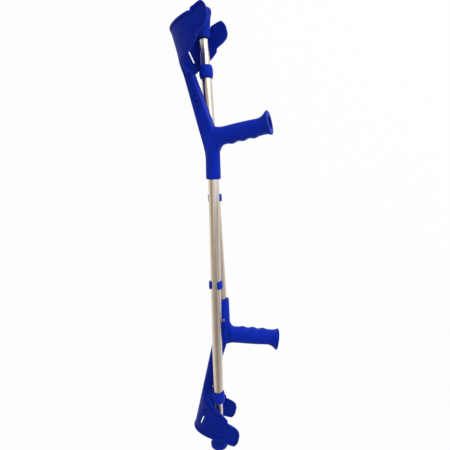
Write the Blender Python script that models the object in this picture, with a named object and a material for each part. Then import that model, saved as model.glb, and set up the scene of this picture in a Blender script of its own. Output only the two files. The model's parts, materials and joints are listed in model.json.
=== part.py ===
"""A pair of forearm crutches, lying head to tail on a flat surface.

Each crutch has a one-piece moulded top (arm cuff, strut, hollow hand grip and tube sleeve),
an outer tube, a telescoping inner tube held by a clip and its pin, a locking collar over a
split bush, and a rubber ferrule. The tip of each crutch lies in the other one's open cuff.

A crutch is modelled upright in its own frame: its origin is on the tube's axis at the mouth of
the sleeve, +Z runs up to the cuff, +X is the way the grip points and +Y is its left side.
Sizes are in metres.
"""

import math

import bmesh
import bpy
import numpy as np
from mathutils import Matrix, Vector

MM = 0.001

# Gaps between pieces that touch
SEAT_GAP = 0.3 * MM
PIN_CLEARANCE = 0.3 * MM
CUT_CRUMB = 0.02 * MM

# Tubes
OUTER_TUBE_DIAMETER = 22.0 * MM
OUTER_TUBE_WALL = 1.2 * MM
OUTER_TUBE_IN_SLEEVE = 97.0 * MM
OUTER_TUBE_BELOW_SLEEVE = 483.0 * MM
INNER_TUBE_WALL = 1.2 * MM
INNER_TUBE_BELOW_COLLAR = 52.0 * MM
HOLE_PITCH = 20.0 * MM
HOLE_STEPS = 12
HOLE_DIAMETER = 4.6 * MM
INNER_TUBE_ABOVE_LAST_HOLE = 18.0 * MM

# Clip and its pin
CLIP_BELOW_SLEEVE = 225.0 * MM
CLIP_HEIGHT = 16.0 * MM
CLIP_WALL = 4.0 * MM
CLIP_BACK_WALL = 2.7 * MM
CLIP_OPENING_ANGLE = math.radians(72.0)
CLIP_EDGE_ROUND = 0.9 * MM
CLIP_STATIONS = 21
PIN_DIAMETER = 4.0 * MM
PIN_TIP_PROUD = 0.7 * MM

# Locking collar and the split bush under it
COLLAR_LENGTH = 26.5 * MM
COLLAR_DIAMETER = 29.8 * MM
COLLAR_END_DIAMETER = 24.4 * MM
COLLAR_OVER_TUBE = 11.5 * MM
COLLAR_LIP = 2.4 * MM
COLLAR_FACETS = 6
FACET_DEPTH = 1.3 * MM
DISH_ACROSS = 8.0 * MM
DISH_WIDE = 7.5 * MM
DISH_TALL = 13.5 * MM
BUSH_SLIT = 2.0 * MM
BUSH_CLEARANCE = 0.25 * MM

# Plug that guides the top of the inner tube
PLUG_HEAD = 3.0 * MM
PLUG_SPIGOT = 12.0 * MM

# Ferrule
FERRULE_LENGTH = 56.0 * MM
FERRULE_MOUTH_DIAMETER = 27.0 * MM
FERRULE_BASE_DIAMETER = 39.0 * MM
FERRULE_FLOOR = 8.0 * MM
FERRULE_BASE_ROUND = 3.0 * MM
TREAD_DIAMETER = 34.0 * MM
TREAD_GROOVE = 2.4 * MM
TREAD_GROOVE_DEPTH = 1.6 * MM
TREAD_PAD_DIAMETER = 12.0 * MM
WASHER_THICKNESS = 1.8 * MM

# Sleeve of the moulded top
SLEEVE_DIAMETER = 29.6 * MM
SLEEVE_LENGTH = 92.0 * MM
SLEEVE_MOUTH_ROUND = 2.6 * MM
SCREW_ABOVE_MOUTH = 46.6 * MM
SCREW_HEAD_DIAMETER = 6.4 * MM
SCREW_HEAD_HEIGHT = 2.0 * MM
SCREW_SHANK_DIAMETER = 3.0 * MM

# Strut that leans back from the sleeve to the cuff
STRUT_WIDTH = 25.6 * MM
STRUT_LEAN = math.radians(15.8)
STRUT_BACK_FOOT = 59.0 * MM
STRUT_DEPTH_AT_GRIP = 33.0 * MM
STRUT_DEPTH_AT_CUFF = 21.5 * MM
STRUT_OVAL_SHARE = 0.62
STRUT_FRONT_ROUND = 3.2 * MM
STRUT_FOOT_FRONT = 9.0 * MM
STRUT_STATIONS = (
    (30, 0.55), (60, 0.86), (85, 0.97), (105, 1.0), (135, 1.0), (165, 1.0), (190, 1.0), (208, 1.0),
)
DIMPLE_HEIGHTS = (145.0 * MM, 156.0 * MM, 167.0 * MM)
DIMPLE_DIAMETER = 3.6 * MM
DIMPLE_DEPTH = 0.9 * MM

# Arm cuff: an open trough whose back follows the strut
CUFF_START = 208.0 * MM
CUFF_FLARE_HEIGHT = 40.0 * MM
CUFF_WIDTH = 97.0 * MM
CUFF_DEPTH = 75.0 * MM
CUFF_REACH = 27.0 * MM
CUFF_SPLAY = 2.5 * MM
CUFF_WALL = 3.2 * MM
RIM_WIDTH = 5.0 * MM
RIM_RISE = 2.0 * MM
RIM_RISE_INSIDE = 0.5 * MM
RIM_START = 12.0 * MM
SLOT_WIDTH = 3.8 * MM
SLOT_TOP = (11.0 * MM, 280.0 * MM)
SLOT_BOTTOM = (15.8 * MM, 244.0 * MM)
SCOOP_HEIGHT = 36.0 * MM
SCOOP_INSET = 0.4 * MM

# Hand grip, and the oval bore that opens at its end. The waved part runs between the two
# pieces of outline below, and the bore's ends are places ahead of the tube's axis and heights.
GRIP_WAVES_START = 30.0 * MM
GRIP_WAVES_LENGTH = 70.0 * MM
GRIP_PITCH = 23.0 * MM
GRIP_WAVE = 1.3 * MM
GRIP_HALF_WIDTH = 15.8 * MM
GRIP_END_HALF_WIDTH = 20.5 * MM
GRIP_STATIONS = 13
BORE_HEIGHT = 26.0 * MM
BORE_WIDTH = 22.0 * MM
BORE_ROOT = (4.0 * MM, 85.8 * MM)
BORE_MOUTH = (130.0 * MM, 108.3 * MM)
BORE_ROOT_SHARE = 0.88

# How the pair lies. Crutch 1 points its cuff along +Y and lies on crutch 2, whose cuff is at the
# other end. Each outer tube ends a distance past the mouth of the other crutch's sleeve, which
# brings the ferrule into the other's cuff. The two tubes come closest where they cross, a little
# off the middle between the mouths, towards that of crutch 1. Heading is the turn of the tube
# from +Y towards -X, pitch its climb, and lift the angle of the grip above level.
TUBE_END_PAST_MOUTH = 218.3 * MM
CROSSING_OFF_MIDDLE = 30.15 * MM
HEADING_1 = math.radians(-1.35)
HEADING_2 = math.radians(1.35)
PITCH_1 = math.radians(-0.66)
PITCH_2 = math.radians(-1.39)
GRIP_LIFT_1 = math.radians(27.84)
GRIP_LIFT_2 = math.radians(4.38)
AXES_APART = 27.6 * MM

# Facets of a round piece, of a small one and of a drilled hole
ROUND_FACETS = 24
SMALL_FACETS = 12
HOLE_FACETS = 8


# Helpers


def material(name, colour, roughness, metallic=0.0):
    """A plain finish with one colour."""
    found = bpy.data.materials.new(name)
    found.use_nodes = True
    shader = found.node_tree.nodes["Principled BSDF"]
    shader.inputs["Base Color"].default_value = (*colour, 1.0)
    shader.inputs["Roughness"].default_value = roughness
    shader.inputs["Metallic"].default_value = metallic
    return found


def solid(name, rings, close_ends=True, loop=False):
    """An object skinned over rings of points; loop joins the last ring to the first."""
    mesh = bpy.data.meshes.new(name)
    shape = bmesh.new()
    rows = [[shape.verts.new(point) for point in ring] for ring in rings]
    pairs = list(zip(rows, rows[1:]))
    if loop:
        pairs.append((rows[-1], rows[0]))
    for low, high in pairs:
        count = len(low)
        for i in range(count):
            j = (i + 1) % count
            shape.faces.new((low[i], low[j], high[j], high[i]))
    if close_ends and not loop:
        shape.faces.new(list(reversed(rows[0])))
        shape.faces.new(rows[-1])
    bmesh.ops.recalc_face_normals(shape, faces=shape.faces)
    shape.to_mesh(mesh)
    shape.free()
    made = bpy.data.objects.new(name, mesh)
    bpy.context.scene.collection.objects.link(made)
    return made


def circle(radius, z, count=ROUND_FACETS):
    """A level ring of points round the Z axis."""
    turn = [2 * math.pi * (i + 0.5) / count for i in range(count)]
    return [(radius * math.cos(a), radius * math.sin(a), z) for a in turn]


def turned(name, profile, count=ROUND_FACETS):
    """A solid turned round the Z axis from (radius, height) points.

    A profile that starts and ends away from the axis is closed on itself, as a pipe is.
    """
    return solid(name, [circle(r, z, count) for r, z in profile], loop=True)


def turned_core(name, profile, count=ROUND_FACETS):
    """A turned solid with flat ends across the axis."""
    return solid(name, [circle(r, z, count) for r, z in profile])


def combine(target, tools, operation):
    """Join the tools to the target, or cut them out of it, and delete the tools.

    Corners that a cut leaves closer together than CUT_CRUMB become one.
    """
    for tool in tools:
        step = target.modifiers.new(operation.lower(), "BOOLEAN")
        step.operation = operation
        step.solver = "EXACT"
        step.object = tool
        graph = bpy.context.evaluated_depsgraph_get()
        graph.update()
        result = bpy.data.meshes.new_from_object(target.evaluated_get(graph))
        target.modifiers.clear()
        old = target.data
        target.data = result
        bpy.data.meshes.remove(old)
        bpy.data.objects.remove(tool)
    shape = bmesh.new()
    shape.from_mesh(target.data)
    bmesh.ops.remove_doubles(shape, verts=shape.verts, dist=CUT_CRUMB)
    bmesh.ops.dissolve_degenerate(shape, edges=shape.edges, dist=CUT_CRUMB / 4)
    shape.to_mesh(target.data)
    shape.free()
    return target


def turn_to_side(made, side=1.0):
    """Lay a piece that was modelled along Z along the Y axis, its top towards side."""
    made.data.transform(Matrix.Rotation(-side * math.pi / 2, 4, "X"))
    return made


def moved(made, offset):
    """Shift a piece inside its own mesh."""
    made.data.transform(Matrix.Translation(offset))
    return made


def finished(made, finish, smooth_angle=math.radians(32.0)):
    """Give a piece its material and smooth its round faces."""
    made.data.materials.clear()
    made.data.materials.append(finish)
    made.data.shade_smooth()
    made.data.set_sharp_from_angle(angle=smooth_angle)
    return made


def ease(value):
    """0 to 1 with a soft start and end."""
    t = min(max(value, 0.0), 1.0)
    return t * t * (3 - 2 * t)


def along(points, count):
    """Points at even steps along a chain of 2-D points."""
    chain = np.array(points, float)
    run = np.r_[0, np.cumsum(np.linalg.norm(np.diff(chain, axis=0), axis=1))]
    steps = np.linspace(0, run[-1], count)
    return [tuple(np.interp(s, run, chain[:, k]) for k in range(chain.shape[1])) for s in steps]


# Derived sizes

OUTER_RADIUS = OUTER_TUBE_DIAMETER / 2
OUTER_BORE = OUTER_RADIUS - OUTER_TUBE_WALL
INNER_RADIUS = OUTER_BORE - SEAT_GAP
INNER_BORE = INNER_RADIUS - INNER_TUBE_WALL
TUBE_END = -OUTER_TUBE_BELOW_SLEEVE
COLLAR_TOP = TUBE_END + COLLAR_OVER_TUBE
COLLAR_END = COLLAR_TOP - COLLAR_LENGTH
FERRULE_MOUTH = COLLAR_END - INNER_TUBE_BELOW_COLLAR
FERRULE_TIP = FERRULE_MOUTH - FERRULE_LENGTH
WASHER_BOTTOM = FERRULE_TIP + FERRULE_FLOOR + SEAT_GAP
INNER_TUBE_END = WASHER_BOTTOM + WASHER_THICKNESS + SEAT_GAP
INNER_TUBE_TOP = -CLIP_BELOW_SLEEVE + HOLE_STEPS * HOLE_PITCH + INNER_TUBE_ABOVE_LAST_HOLE
SLEEVE_RADIUS = SLEEVE_DIAMETER / 2
SOCKET_RADIUS = OUTER_RADIUS + SEAT_GAP
GRIP_ROOT = SLEEVE_LENGTH + 8.0 * MM
PIN_RADIUS = PIN_DIAMETER / 2
MOUTHS_APART = OUTER_TUBE_BELOW_SLEEVE - TUBE_END_PAST_MOUTH
CROSSING_1 = CROSSING_OFF_MIDDLE - MOUTHS_APART / 2
CROSSING_2 = -CROSSING_OFF_MIDDLE - MOUTHS_APART / 2


def back_line(z):
    """X of the back of the strut and cuff at a height."""
    return -SLEEVE_RADIUS - 1.2 * MM - math.tan(STRUT_LEAN) * (z - STRUT_BACK_FOOT)


def strut_depth(z):
    """Front to back depth of the strut at a height."""
    share = (z - GRIP_ROOT) / (CUFF_START - GRIP_ROOT)
    return STRUT_DEPTH_AT_GRIP + (STRUT_DEPTH_AT_CUFF - STRUT_DEPTH_AT_GRIP) * share


def trough_size(z):
    """Half width, depth and fullness of the cuff's section at a height.

    The section is boxy where it leaves the strut and a half ellipse further up.
    """
    rise = min(max((z - CUFF_START) / CUFF_FLARE_HEIGHT, 0.0), 1.0)
    spread = math.sin(math.pi / 2 * rise) ** 1.2
    half = STRUT_WIDTH / 2 + (CUFF_WIDTH / 2 - STRUT_WIDTH / 2) * spread
    first_depth = STRUT_DEPTH_AT_CUFF * STRUT_OVAL_SHARE
    depth = first_depth + (CUFF_DEPTH - first_depth) * min(rise, 1.0)
    return half, depth, 2.0 + 0.9 * (1 - ease(rise))


def trough_point(p, z, inset=0.0):
    """A point of the cuff's outer surface, or inset into it.

    p is the angle in degrees round the half oval of the back, up to 90 on either side; past 90
    it counts millimetres of the straight wing in front.
    """
    side = -1.0 if p < 0 else 1.0
    turn = math.radians(min(abs(p), 90.0))
    ahead = max(abs(p) - 90.0, 0.0) * MM
    half, depth, fullness = trough_size(z)
    c = max(math.cos(turn), 0.0) ** (2 / fullness)
    s = math.sin(turn) ** (2 / fullness)
    x = back_line(z) + depth * (1 - c) + ahead
    y = half * s + CUFF_SPLAY * ahead / CUFF_REACH * (depth / CUFF_DEPTH) ** 2
    nx = -c ** (fullness - 1) / depth
    ny = s ** (fullness - 1) / half
    length = math.hypot(nx, ny)
    return Vector((x - inset * nx / length, side * (y - inset * ny / length), z))


def place_round(behind, z):
    """The place round the trough that lies a distance ahead of the back line at a height."""
    _, depth, fullness = trough_size(z)
    if behind >= depth:
        return 90.0 + (behind - depth) / MM
    return math.degrees(math.acos((1 - behind / depth) ** (fullness / 2)))


# Side outline of the cuff in millimetres: distance ahead of the back line, and height

LOWER_EDGE = [
    (0, 208), (7, 208), (11, 209), (14, 213), (17, 220), (23, 227.5),
    (30, 234), (38, 240.5), (46, 246), (54, 252), (64, 260),
]
LOWER_NOTCH = [(68, 264.9), (69.2, 270.8), (73, 273.4)]
LOWER_WING = [(78, 276), (89, 282.5), (95, 287.5), (99, 292.5), (102, 300)]
UPPER_EDGE = [(0, 300.5), (5, 301), (17, 303), (32, 306), (48, 309.3), (58, 311.3)]
UPPER_NOTCH = [(64.5, 312.8), (67.6, 310.4), (69.4, 316)]
UPPER_WING = [(75, 318.5), (89, 323.8), (95, 325.4), (99, 323.4), (102, 315)]


def cuff_columns():
    """Matching points on the lower and upper edge, from the back to the front of one side."""
    columns = []
    for share in np.linspace(0, 1, 12):
        pair = []
        for outline in (LOWER_EDGE + LOWER_NOTCH[:1], UPPER_EDGE + UPPER_NOTCH[:1]):
            behind = outline[-1][0] * share ** 1.7
            pair.append((behind, np.interp(behind, *zip(*outline))))
        columns.append(tuple(pair))
    columns += list(zip(LOWER_NOTCH[1:], UPPER_NOTCH[1:]))
    wings = zip(along(LOWER_NOTCH[2:] + LOWER_WING, 7), along(UPPER_NOTCH[2:] + UPPER_WING, 7))
    return columns + list(wings)[1:]


def rim_share(distance):
    """How much of the rim's bead stands at a distance from the edge."""
    if distance < RIM_WIDTH * 0.3:
        return 0.55 + 0.45 * distance / (RIM_WIDTH * 0.3)
    return 1 - ease((distance - RIM_WIDTH) / (RIM_WIDTH * 0.35))


def cuff_shell():
    """The trough of the cuff as one closed sheet with a beaded rim."""
    edge_steps = [0.0, 0.3 * RIM_WIDTH, RIM_WIDTH, 1.35 * RIM_WIDTH]
    columns = cuff_columns()
    front = columns[-1][0][0] * MM
    rings = []
    for low, high in columns:
        start = Vector(low) * MM
        end = Vector(high) * MM
        span = (end - start).length
        open_below = ease((start.x - RIM_START) / RIM_WIDTH)
        fit = min(1.0, 0.38 * span / edge_steps[-1]) / span
        shares = [step * fit for step in edge_steps]
        flare = min(max((CUFF_START + CUFF_FLARE_HEIGHT - start.y) / span, shares[-1] + 0.1), 0.58)
        shares += [shares[-1] + (flare - shares[-1]) * part for part in (0.33, 0.67, 1.0)]
        shares += [1 - step * fit for step in edge_steps[::-1]]
        outer = []
        inner = []
        for share in shares:
            behind, z = start.lerp(end, share)
            place = place_round(behind, z)
            bead = max(
                rim_share(share * span) * open_below,
                rim_share((1 - share) * span),
                rim_share(front - behind),
            )
            outer.append(trough_point(place, z, -RIM_RISE * bead))
            inner.append(trough_point(place, z, CUFF_WALL + RIM_RISE_INSIDE * bead))
        rings.append(outer + inner[::-1])
    mirrored = [[Vector((point.x, -point.y, point.z)) for point in ring] for ring in rings[:0:-1]]
    return solid("cuff_shell", mirrored + rings)


def trough_slice(z, depth, inset):
    """A level slice of the trough's back, cut off flat at a depth."""
    reach = place_round(depth, z)
    return [trough_point(p, z, inset) for p in np.linspace(-reach, reach, 13)]


def scoop():
    """The floor of the trough, which slopes from the strut's front to the cuff's back wall."""
    rings = []
    for share in np.linspace(0, 1, 8):
        z = CUFF_START - SCOOP_INSET + SCOOP_HEIGHT * share
        fall = ease(share) ** 0.8
        depth = strut_depth(z) * (1 - fall) + CUFF_WALL * 0.8 * fall
        rings.append(trough_slice(z, depth, SCOOP_INSET))
    return solid("scoop", rings)


def strut_slice(z, back, front, half, fullness):
    """A level slice of the strut: half an oval at the back, small rounds at the front corners."""
    side = []
    for turn in np.linspace(0, 90, 7):
        c = max(math.cos(math.radians(turn)), 0.0) ** (2 / fullness)
        s = math.sin(math.radians(turn)) ** (2 / fullness)
        side.append((back + (front - back) * STRUT_OVAL_SHARE * (1 - c), half * s))
    for step in range(3):
        turn = math.radians(10 + 35 * step)
        side.append((
            front - STRUT_FRONT_ROUND * (1 - math.sin(turn)),
            half - STRUT_FRONT_ROUND * (1 - math.cos(turn)),
        ))
    right = [(x, -y, z) for x, y in reversed(side[1:])]
    return right + [(x, y, z) for x, y in side]


def strut():
    """The leaning strut, which fades into the sleeve at its foot and runs on into the cuff."""
    rings = []
    for height, width in STRUT_STATIONS:
        z = height * MM
        back = back_line(z) if z > STRUT_BACK_FOOT else -SLEEVE_RADIUS * 0.8
        front = back + strut_depth(z) if z > GRIP_ROOT else STRUT_FOOT_FRONT
        fullness = 4.0 - 1.1 * ease((z - GRIP_ROOT) / (CUFF_START - GRIP_ROOT))
        rings.append(strut_slice(z, back, front, STRUT_WIDTH / 2 * width, fullness))
    return solid("strut", rings)


# Side outline of the grip: pairs of a palm point and a finger point, in millimetres, with the
# share of the way from the grip's own half width to the flared end's

def finger_line(x):
    """Height in millimetres of the waved finger side at x."""
    wave = math.cos(2 * math.pi * (x - 66.0) / (GRIP_PITCH / MM))
    return 75.3 + 0.176 * (x - 66.0) - GRIP_WAVE / MM * wave


def palm_line(x):
    """Height in millimetres of the smooth palm side at x."""
    return 103.6 + 0.1475 * (x - 13.0) + 1.1 * math.sin(math.pi * (x - 13.0) / 90.0)


GRIP_ROOT_PAIRS = [
    ((-6, 109), (-4, 52), 0.55), ((5, 107.6), (12.6, 50), 0.78), ((11, 106), (14.6, 56), 0.90),
    ((15, 105.4), (16.4, 62), 0.96), ((19.5, 105.4), (19.6, 66.6), 0.985), ((24.5, 106), (24.2, 69.2), 1.0),
]
GRIP_END_PAIRS = [
    ((103.5, 119.4), (108.5, 84.1), 0.12), ((107.5, 122.6), (113.5, 84.4), 0.38),
    ((110.8, 127.0), (118.0, 84.1), 0.74), ((112.4, 129.4), (120.8, 83.0), 0.96),
    ((114.4, 130.0), (123.4, 82.6), 1.0), ((115.6, 129.0), (124.4, 83.6), 0.93),
]


def oval(top, bottom, half_width, count=18, fullness=2.35):
    """A ring across the grip between a palm point and a finger point."""
    top = Vector((top[0], 0, top[1]))
    bottom = Vector((bottom[0], 0, bottom[1]))
    centre = (top + bottom) / 2
    tall = (top - bottom) / 2
    ring = []
    for i in range(count):
        turn = 2 * math.pi * (i + 0.5) / count
        c = math.cos(turn)
        s = math.sin(turn)
        up = math.copysign(abs(s) ** (2 / fullness), s)
        across = math.copysign(abs(c) ** (2 / fullness), c)
        ring.append(centre + tall * up + Vector((0, half_width * across, 0)))
    return ring


def grip():
    """The hand grip with its finger waves and flared end."""
    rings = []
    for top, bottom, share in GRIP_ROOT_PAIRS:
        rings.append((top, bottom, GRIP_HALF_WIDTH / MM * share))
    for share in np.linspace(0, 1, GRIP_STATIONS):
        x = (GRIP_WAVES_START + GRIP_WAVES_LENGTH * share) / MM
        lean = 3.5 * share
        swell = 0.5 * math.sin(math.pi * share)
        palm = x - lean * 0.4
        finger = x + lean
        width = GRIP_HALF_WIDTH / MM + swell
        rings.append(((palm, palm_line(palm)), (finger, finger_line(finger)), width))
    for top, bottom, share in GRIP_END_PAIRS:
        width = GRIP_HALF_WIDTH + (GRIP_END_HALF_WIDTH - GRIP_HALF_WIDTH) * share
        rings.append((top, bottom, width / MM))
    scaled = [oval(Vector(t) * MM, Vector(b) * MM, w * MM) for t, b, w in rings]
    return solid("grip", scaled)


def grip_bore():
    """Cutter for the oval bore, from the grip's end to the tube."""
    start = Vector((BORE_ROOT[0], 0, BORE_ROOT[1]))
    end = Vector((BORE_MOUTH[0], 0, BORE_MOUTH[1]))
    way = (end - start).normalized()
    up = Vector((-way.z, 0, way.x))
    rings = []
    for share in (0.0, 1.0):
        centre = start.lerp(end, share)
        size = BORE_ROOT_SHARE + (1 - BORE_ROOT_SHARE) * share
        top = centre + up * BORE_HEIGHT / 2 * size
        bottom = centre - up * BORE_HEIGHT / 2 * size
        half_width = BORE_WIDTH / 2 * size
        rings.append(oval((top.x, top.z), (bottom.x, bottom.z), half_width, SMALL_FACETS, 2.0))
    return solid("grip_bore", rings)


def cuff_slot():
    """Cutter for the long slot through the left wall of the cuff."""
    top = trough_point(place_round(SLOT_TOP[0], SLOT_TOP[1]), SLOT_TOP[1])
    bottom = trough_point(place_round(SLOT_BOTTOM[0], SLOT_BOTTOM[1]), SLOT_BOTTOM[1])
    way = (top - bottom).normalized()
    height = (SLOT_TOP[1] + SLOT_BOTTOM[1]) / 2
    place = place_round((SLOT_TOP[0] + SLOT_BOTTOM[0]) / 2, height)
    through = (trough_point(place, height, CUFF_WALL) - trough_point(place, height)).normalized()
    across = way.cross(through).normalized()
    outline = []
    for end, start_turn in ((top, 0.0), (bottom, math.pi)):
        for step in range(5):
            turn = start_turn + math.pi * step / 4
            outline.append(end + SLOT_WIDTH / 2 * (across * math.cos(turn) + way * math.sin(turn)))
    rings = [[point + through * reach for point in outline] for reach in (-6.0 * MM, 11.0 * MM)]
    return solid("cuff_slot", rings)


def upper_moulding(finish):
    """Cuff, strut, grip and sleeve in one moulding."""
    mouth = SLEEVE_MOUTH_ROUND
    body = turned_core("upper_moulding", [
        (SLEEVE_RADIUS - mouth, 0.0),
        (SLEEVE_RADIUS - 0.3 * mouth, 0.35 * mouth),
        (SLEEVE_RADIUS, mouth),
        (SLEEVE_RADIUS - 0.2 * MM, SLEEVE_LENGTH * 0.5),
        (SLEEVE_RADIUS - 1.0 * MM, SLEEVE_LENGTH * 0.85),
        (SLEEVE_RADIUS - 5.0 * MM, SLEEVE_LENGTH + 6.0 * MM),
    ])
    combine(body, [strut(), grip(), scoop(), cuff_shell()], "UNION")
    socket = turned_core("socket", [
        (SOCKET_RADIUS, -5.0 * MM), (SOCKET_RADIUS, OUTER_TUBE_IN_SLEEVE + SEAT_GAP),
    ])
    head = SCREW_HEAD_DIAMETER / 2 + PIN_CLEARANCE
    shank = SCREW_SHANK_DIAMETER / 2 + PIN_CLEARANCE
    floor = SLEEVE_RADIUS - SCREW_HEAD_HEIGHT - 0.2 * MM
    screw_hole = turn_to_side(turned_core("screw_hole", [
        (shank, OUTER_BORE * 0.6), (shank, floor), (head, floor), (head, SLEEVE_RADIUS + 4.0 * MM),
    ], SMALL_FACETS))
    moved(screw_hole, (0, 0, SCREW_ABOVE_MOUTH))
    dimples = []
    for height in DIMPLE_HEIGHTS:
        dimple = turn_to_side(turned_core("dimple", [
            (DIMPLE_DIAMETER / 2, STRUT_WIDTH / 2 - DIMPLE_DEPTH),
            (DIMPLE_DIAMETER / 2, STRUT_WIDTH / 2 + 2.0 * MM),
        ], SMALL_FACETS), -1.0)
        moved(dimple, (back_line(height) + strut_depth(height) * 0.55, 0, height))
        dimples.append(dimple)
    combine(body, [socket, grip_bore(), screw_hole, cuff_slot()] + dimples, "DIFFERENCE")
    return finished(body, finish)


def pipe(name, outer, bore, low, high):
    """A plain tube."""
    return turned(name, [(outer, low), (outer, high), (bore, high), (bore, low)])


def cross_hole(diameter, z, reach):
    """Cutter for a hole through a tube from side to side."""
    tool = turned_core("cross_hole", [(diameter / 2, -reach), (diameter / 2, reach)], HOLE_FACETS)
    return moved(turn_to_side(tool), (0, 0, z))


def outer_tube(finish):
    """The upper tube, drilled for the pin and for the handle screw."""
    made = pipe("outer_tube", OUTER_RADIUS, OUTER_BORE, TUBE_END, OUTER_TUBE_IN_SLEEVE)
    shank = SCREW_SHANK_DIAMETER / 2 + PIN_CLEARANCE
    screw_hole = turn_to_side(turned_core("screw_hole", [
        (shank, OUTER_BORE * 0.6), (shank, OUTER_RADIUS * 1.5),
    ], HOLE_FACETS))
    moved(screw_hole, (0, 0, SCREW_ABOVE_MOUTH))
    pin_hole = cross_hole(HOLE_DIAMETER, -CLIP_BELOW_SLEEVE, OUTER_RADIUS * 1.4)
    combine(made, [pin_hole, screw_hole], "DIFFERENCE")
    return finished(made, finish)


def inner_tube(finish):
    """The telescoping tube with its row of height holes."""
    made = pipe("inner_tube", INNER_RADIUS, INNER_BORE, INNER_TUBE_END, INNER_TUBE_TOP)
    holes = [
        cross_hole(HOLE_DIAMETER, -CLIP_BELOW_SLEEVE + step * HOLE_PITCH, OUTER_RADIUS * 1.4)
        for step in range(HOLE_STEPS + 1)
    ]
    combine(made, holes, "DIFFERENCE")
    return finished(made, finish)


def inner_tube_plug(finish):
    """The plug in the top of the inner tube, whose head keeps it centred in the outer one."""
    spigot = INNER_BORE - PIN_CLEARANCE
    base = INNER_TUBE_TOP + SEAT_GAP
    made = turned_core("inner_tube_plug", [
        (spigot - 0.6 * MM, base - PLUG_SPIGOT),
        (spigot, base - PLUG_SPIGOT + 1.0 * MM),
        (spigot, base),
        (INNER_RADIUS, base),
        (INNER_RADIUS, base + PLUG_HEAD - 0.6 * MM),
        (INNER_RADIUS - 0.6 * MM, base + PLUG_HEAD),
    ])
    return finished(made, finish)


def clip_ring(finish):
    """The open ring of the clip, sprung round the outer tube, with a flat back."""
    inner = OUTER_RADIUS + SEAT_GAP
    outer = inner + CLIP_WALL - SEAT_GAP
    half = CLIP_HEIGHT / 2
    edge = CLIP_EDGE_ROUND
    section = [
        (inner, -half), (outer - edge, -half), (outer, -half + edge),
        (outer, half - edge), (outer - edge, half), (inner, half),
    ]
    rings = []
    for share in np.linspace(0, 1, CLIP_STATIONS):
        turn = -math.pi / 2 + CLIP_OPENING_ANGLE / 2 + (2 * math.pi - CLIP_OPENING_ANGLE) * share
        thin = ease((math.sin(turn) - 0.2) / 0.6)
        ring = []
        for r, z in section:
            r = r if r == inner else r - (CLIP_WALL - CLIP_BACK_WALL) * thin
            ring.append((r * math.cos(turn), r * math.sin(turn), z - CLIP_BELOW_SLEEVE))
        rings.append(ring)
    made = solid("clip_ring", rings)
    hole = turn_to_side(turned_core("pin_bore", [
        (PIN_RADIUS + PIN_CLEARANCE, 0.0), (PIN_RADIUS + PIN_CLEARANCE, OUTER_RADIUS * 2),
    ], SMALL_FACETS))
    combine(made, [moved(hole, (0, 0, -CLIP_BELOW_SLEEVE))], "DIFFERENCE")
    return finished(made, finish)


def clip_pin(finish):
    """The steel pin of the clip, through both walls of both tubes."""
    tip = OUTER_RADIUS + PIN_TIP_PROUD
    back = OUTER_RADIUS + CLIP_BACK_WALL - 0.2 * MM
    made = turn_to_side(turned_core("clip_pin", [
        (PIN_RADIUS - 1.0 * MM, -tip), (PIN_RADIUS - 0.3 * MM, -tip + 0.4 * MM),
        (PIN_RADIUS, -tip + 1.2 * MM), (PIN_RADIUS, back),
    ], SMALL_FACETS))
    return finished(moved(made, (0, 0, -CLIP_BELOW_SLEEVE)), finish)


def tube_bush(finish):
    """The split bush that centres the inner tube under the end of the outer one."""
    top = TUBE_END - SEAT_GAP
    low = COLLAR_END + COLLAR_LIP + SEAT_GAP
    bore = INNER_RADIUS + BUSH_CLEARANCE
    made = pipe("tube_bush", OUTER_RADIUS, bore, low, top)
    half = BUSH_SLIT / 2
    corners = ((0, -half), (OUTER_RADIUS * 2, -half), (OUTER_RADIUS * 2, half), (0, half))
    slit = solid("slit", [[(x, y, z) for x, y in corners] for z in (low - 1.0 * MM, top + 1.0 * MM)])
    combine(made, [slit], "DIFFERENCE")
    return finished(made, finish)


def lock_collar(finish):
    """The barrel shaped locking collar with a dished facet for each finger place."""
    radius = COLLAR_DIAMETER / 2
    end = COLLAR_END_DIAMETER / 2
    socket = OUTER_RADIUS + SEAT_GAP
    lip_bore = INNER_RADIUS + BUSH_CLEARANCE
    lip = COLLAR_END + COLLAR_LIP
    profile = [(socket, COLLAR_TOP)]
    for share in np.linspace(0, 1, 8):
        barrel = math.sin(math.pi * share) ** 0.55
        profile.append((end + (radius - end) * barrel, COLLAR_TOP - COLLAR_LENGTH * share))
    profile += [(lip_bore, COLLAR_END), (lip_bore, lip), (socket, lip)]
    made = turned("lock_collar", profile)
    dishes = []
    for facet in range(COLLAR_FACETS):
        rings = []
        for lean in np.linspace(0, math.pi, 7)[1:-1]:
            across = DISH_ACROSS * math.sin(lean)
            wide = DISH_WIDE * math.sin(lean)
            rings.append([
                (across * math.cos(turn), wide * math.sin(turn), DISH_TALL * math.cos(lean))
                for turn in np.linspace(0, 2 * math.pi, SMALL_FACETS + 1)[:-1]
            ])
        dish = solid("dish", rings)
        moved(dish, (radius - FACET_DEPTH + DISH_ACROSS, 0, COLLAR_TOP - COLLAR_LENGTH / 2))
        dish.data.transform(Matrix.Rotation(2 * math.pi * facet / COLLAR_FACETS, 4, "Z"))
        dishes.append(dish)
    combine(made, dishes, "DIFFERENCE")
    return finished(made, finish)


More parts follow.
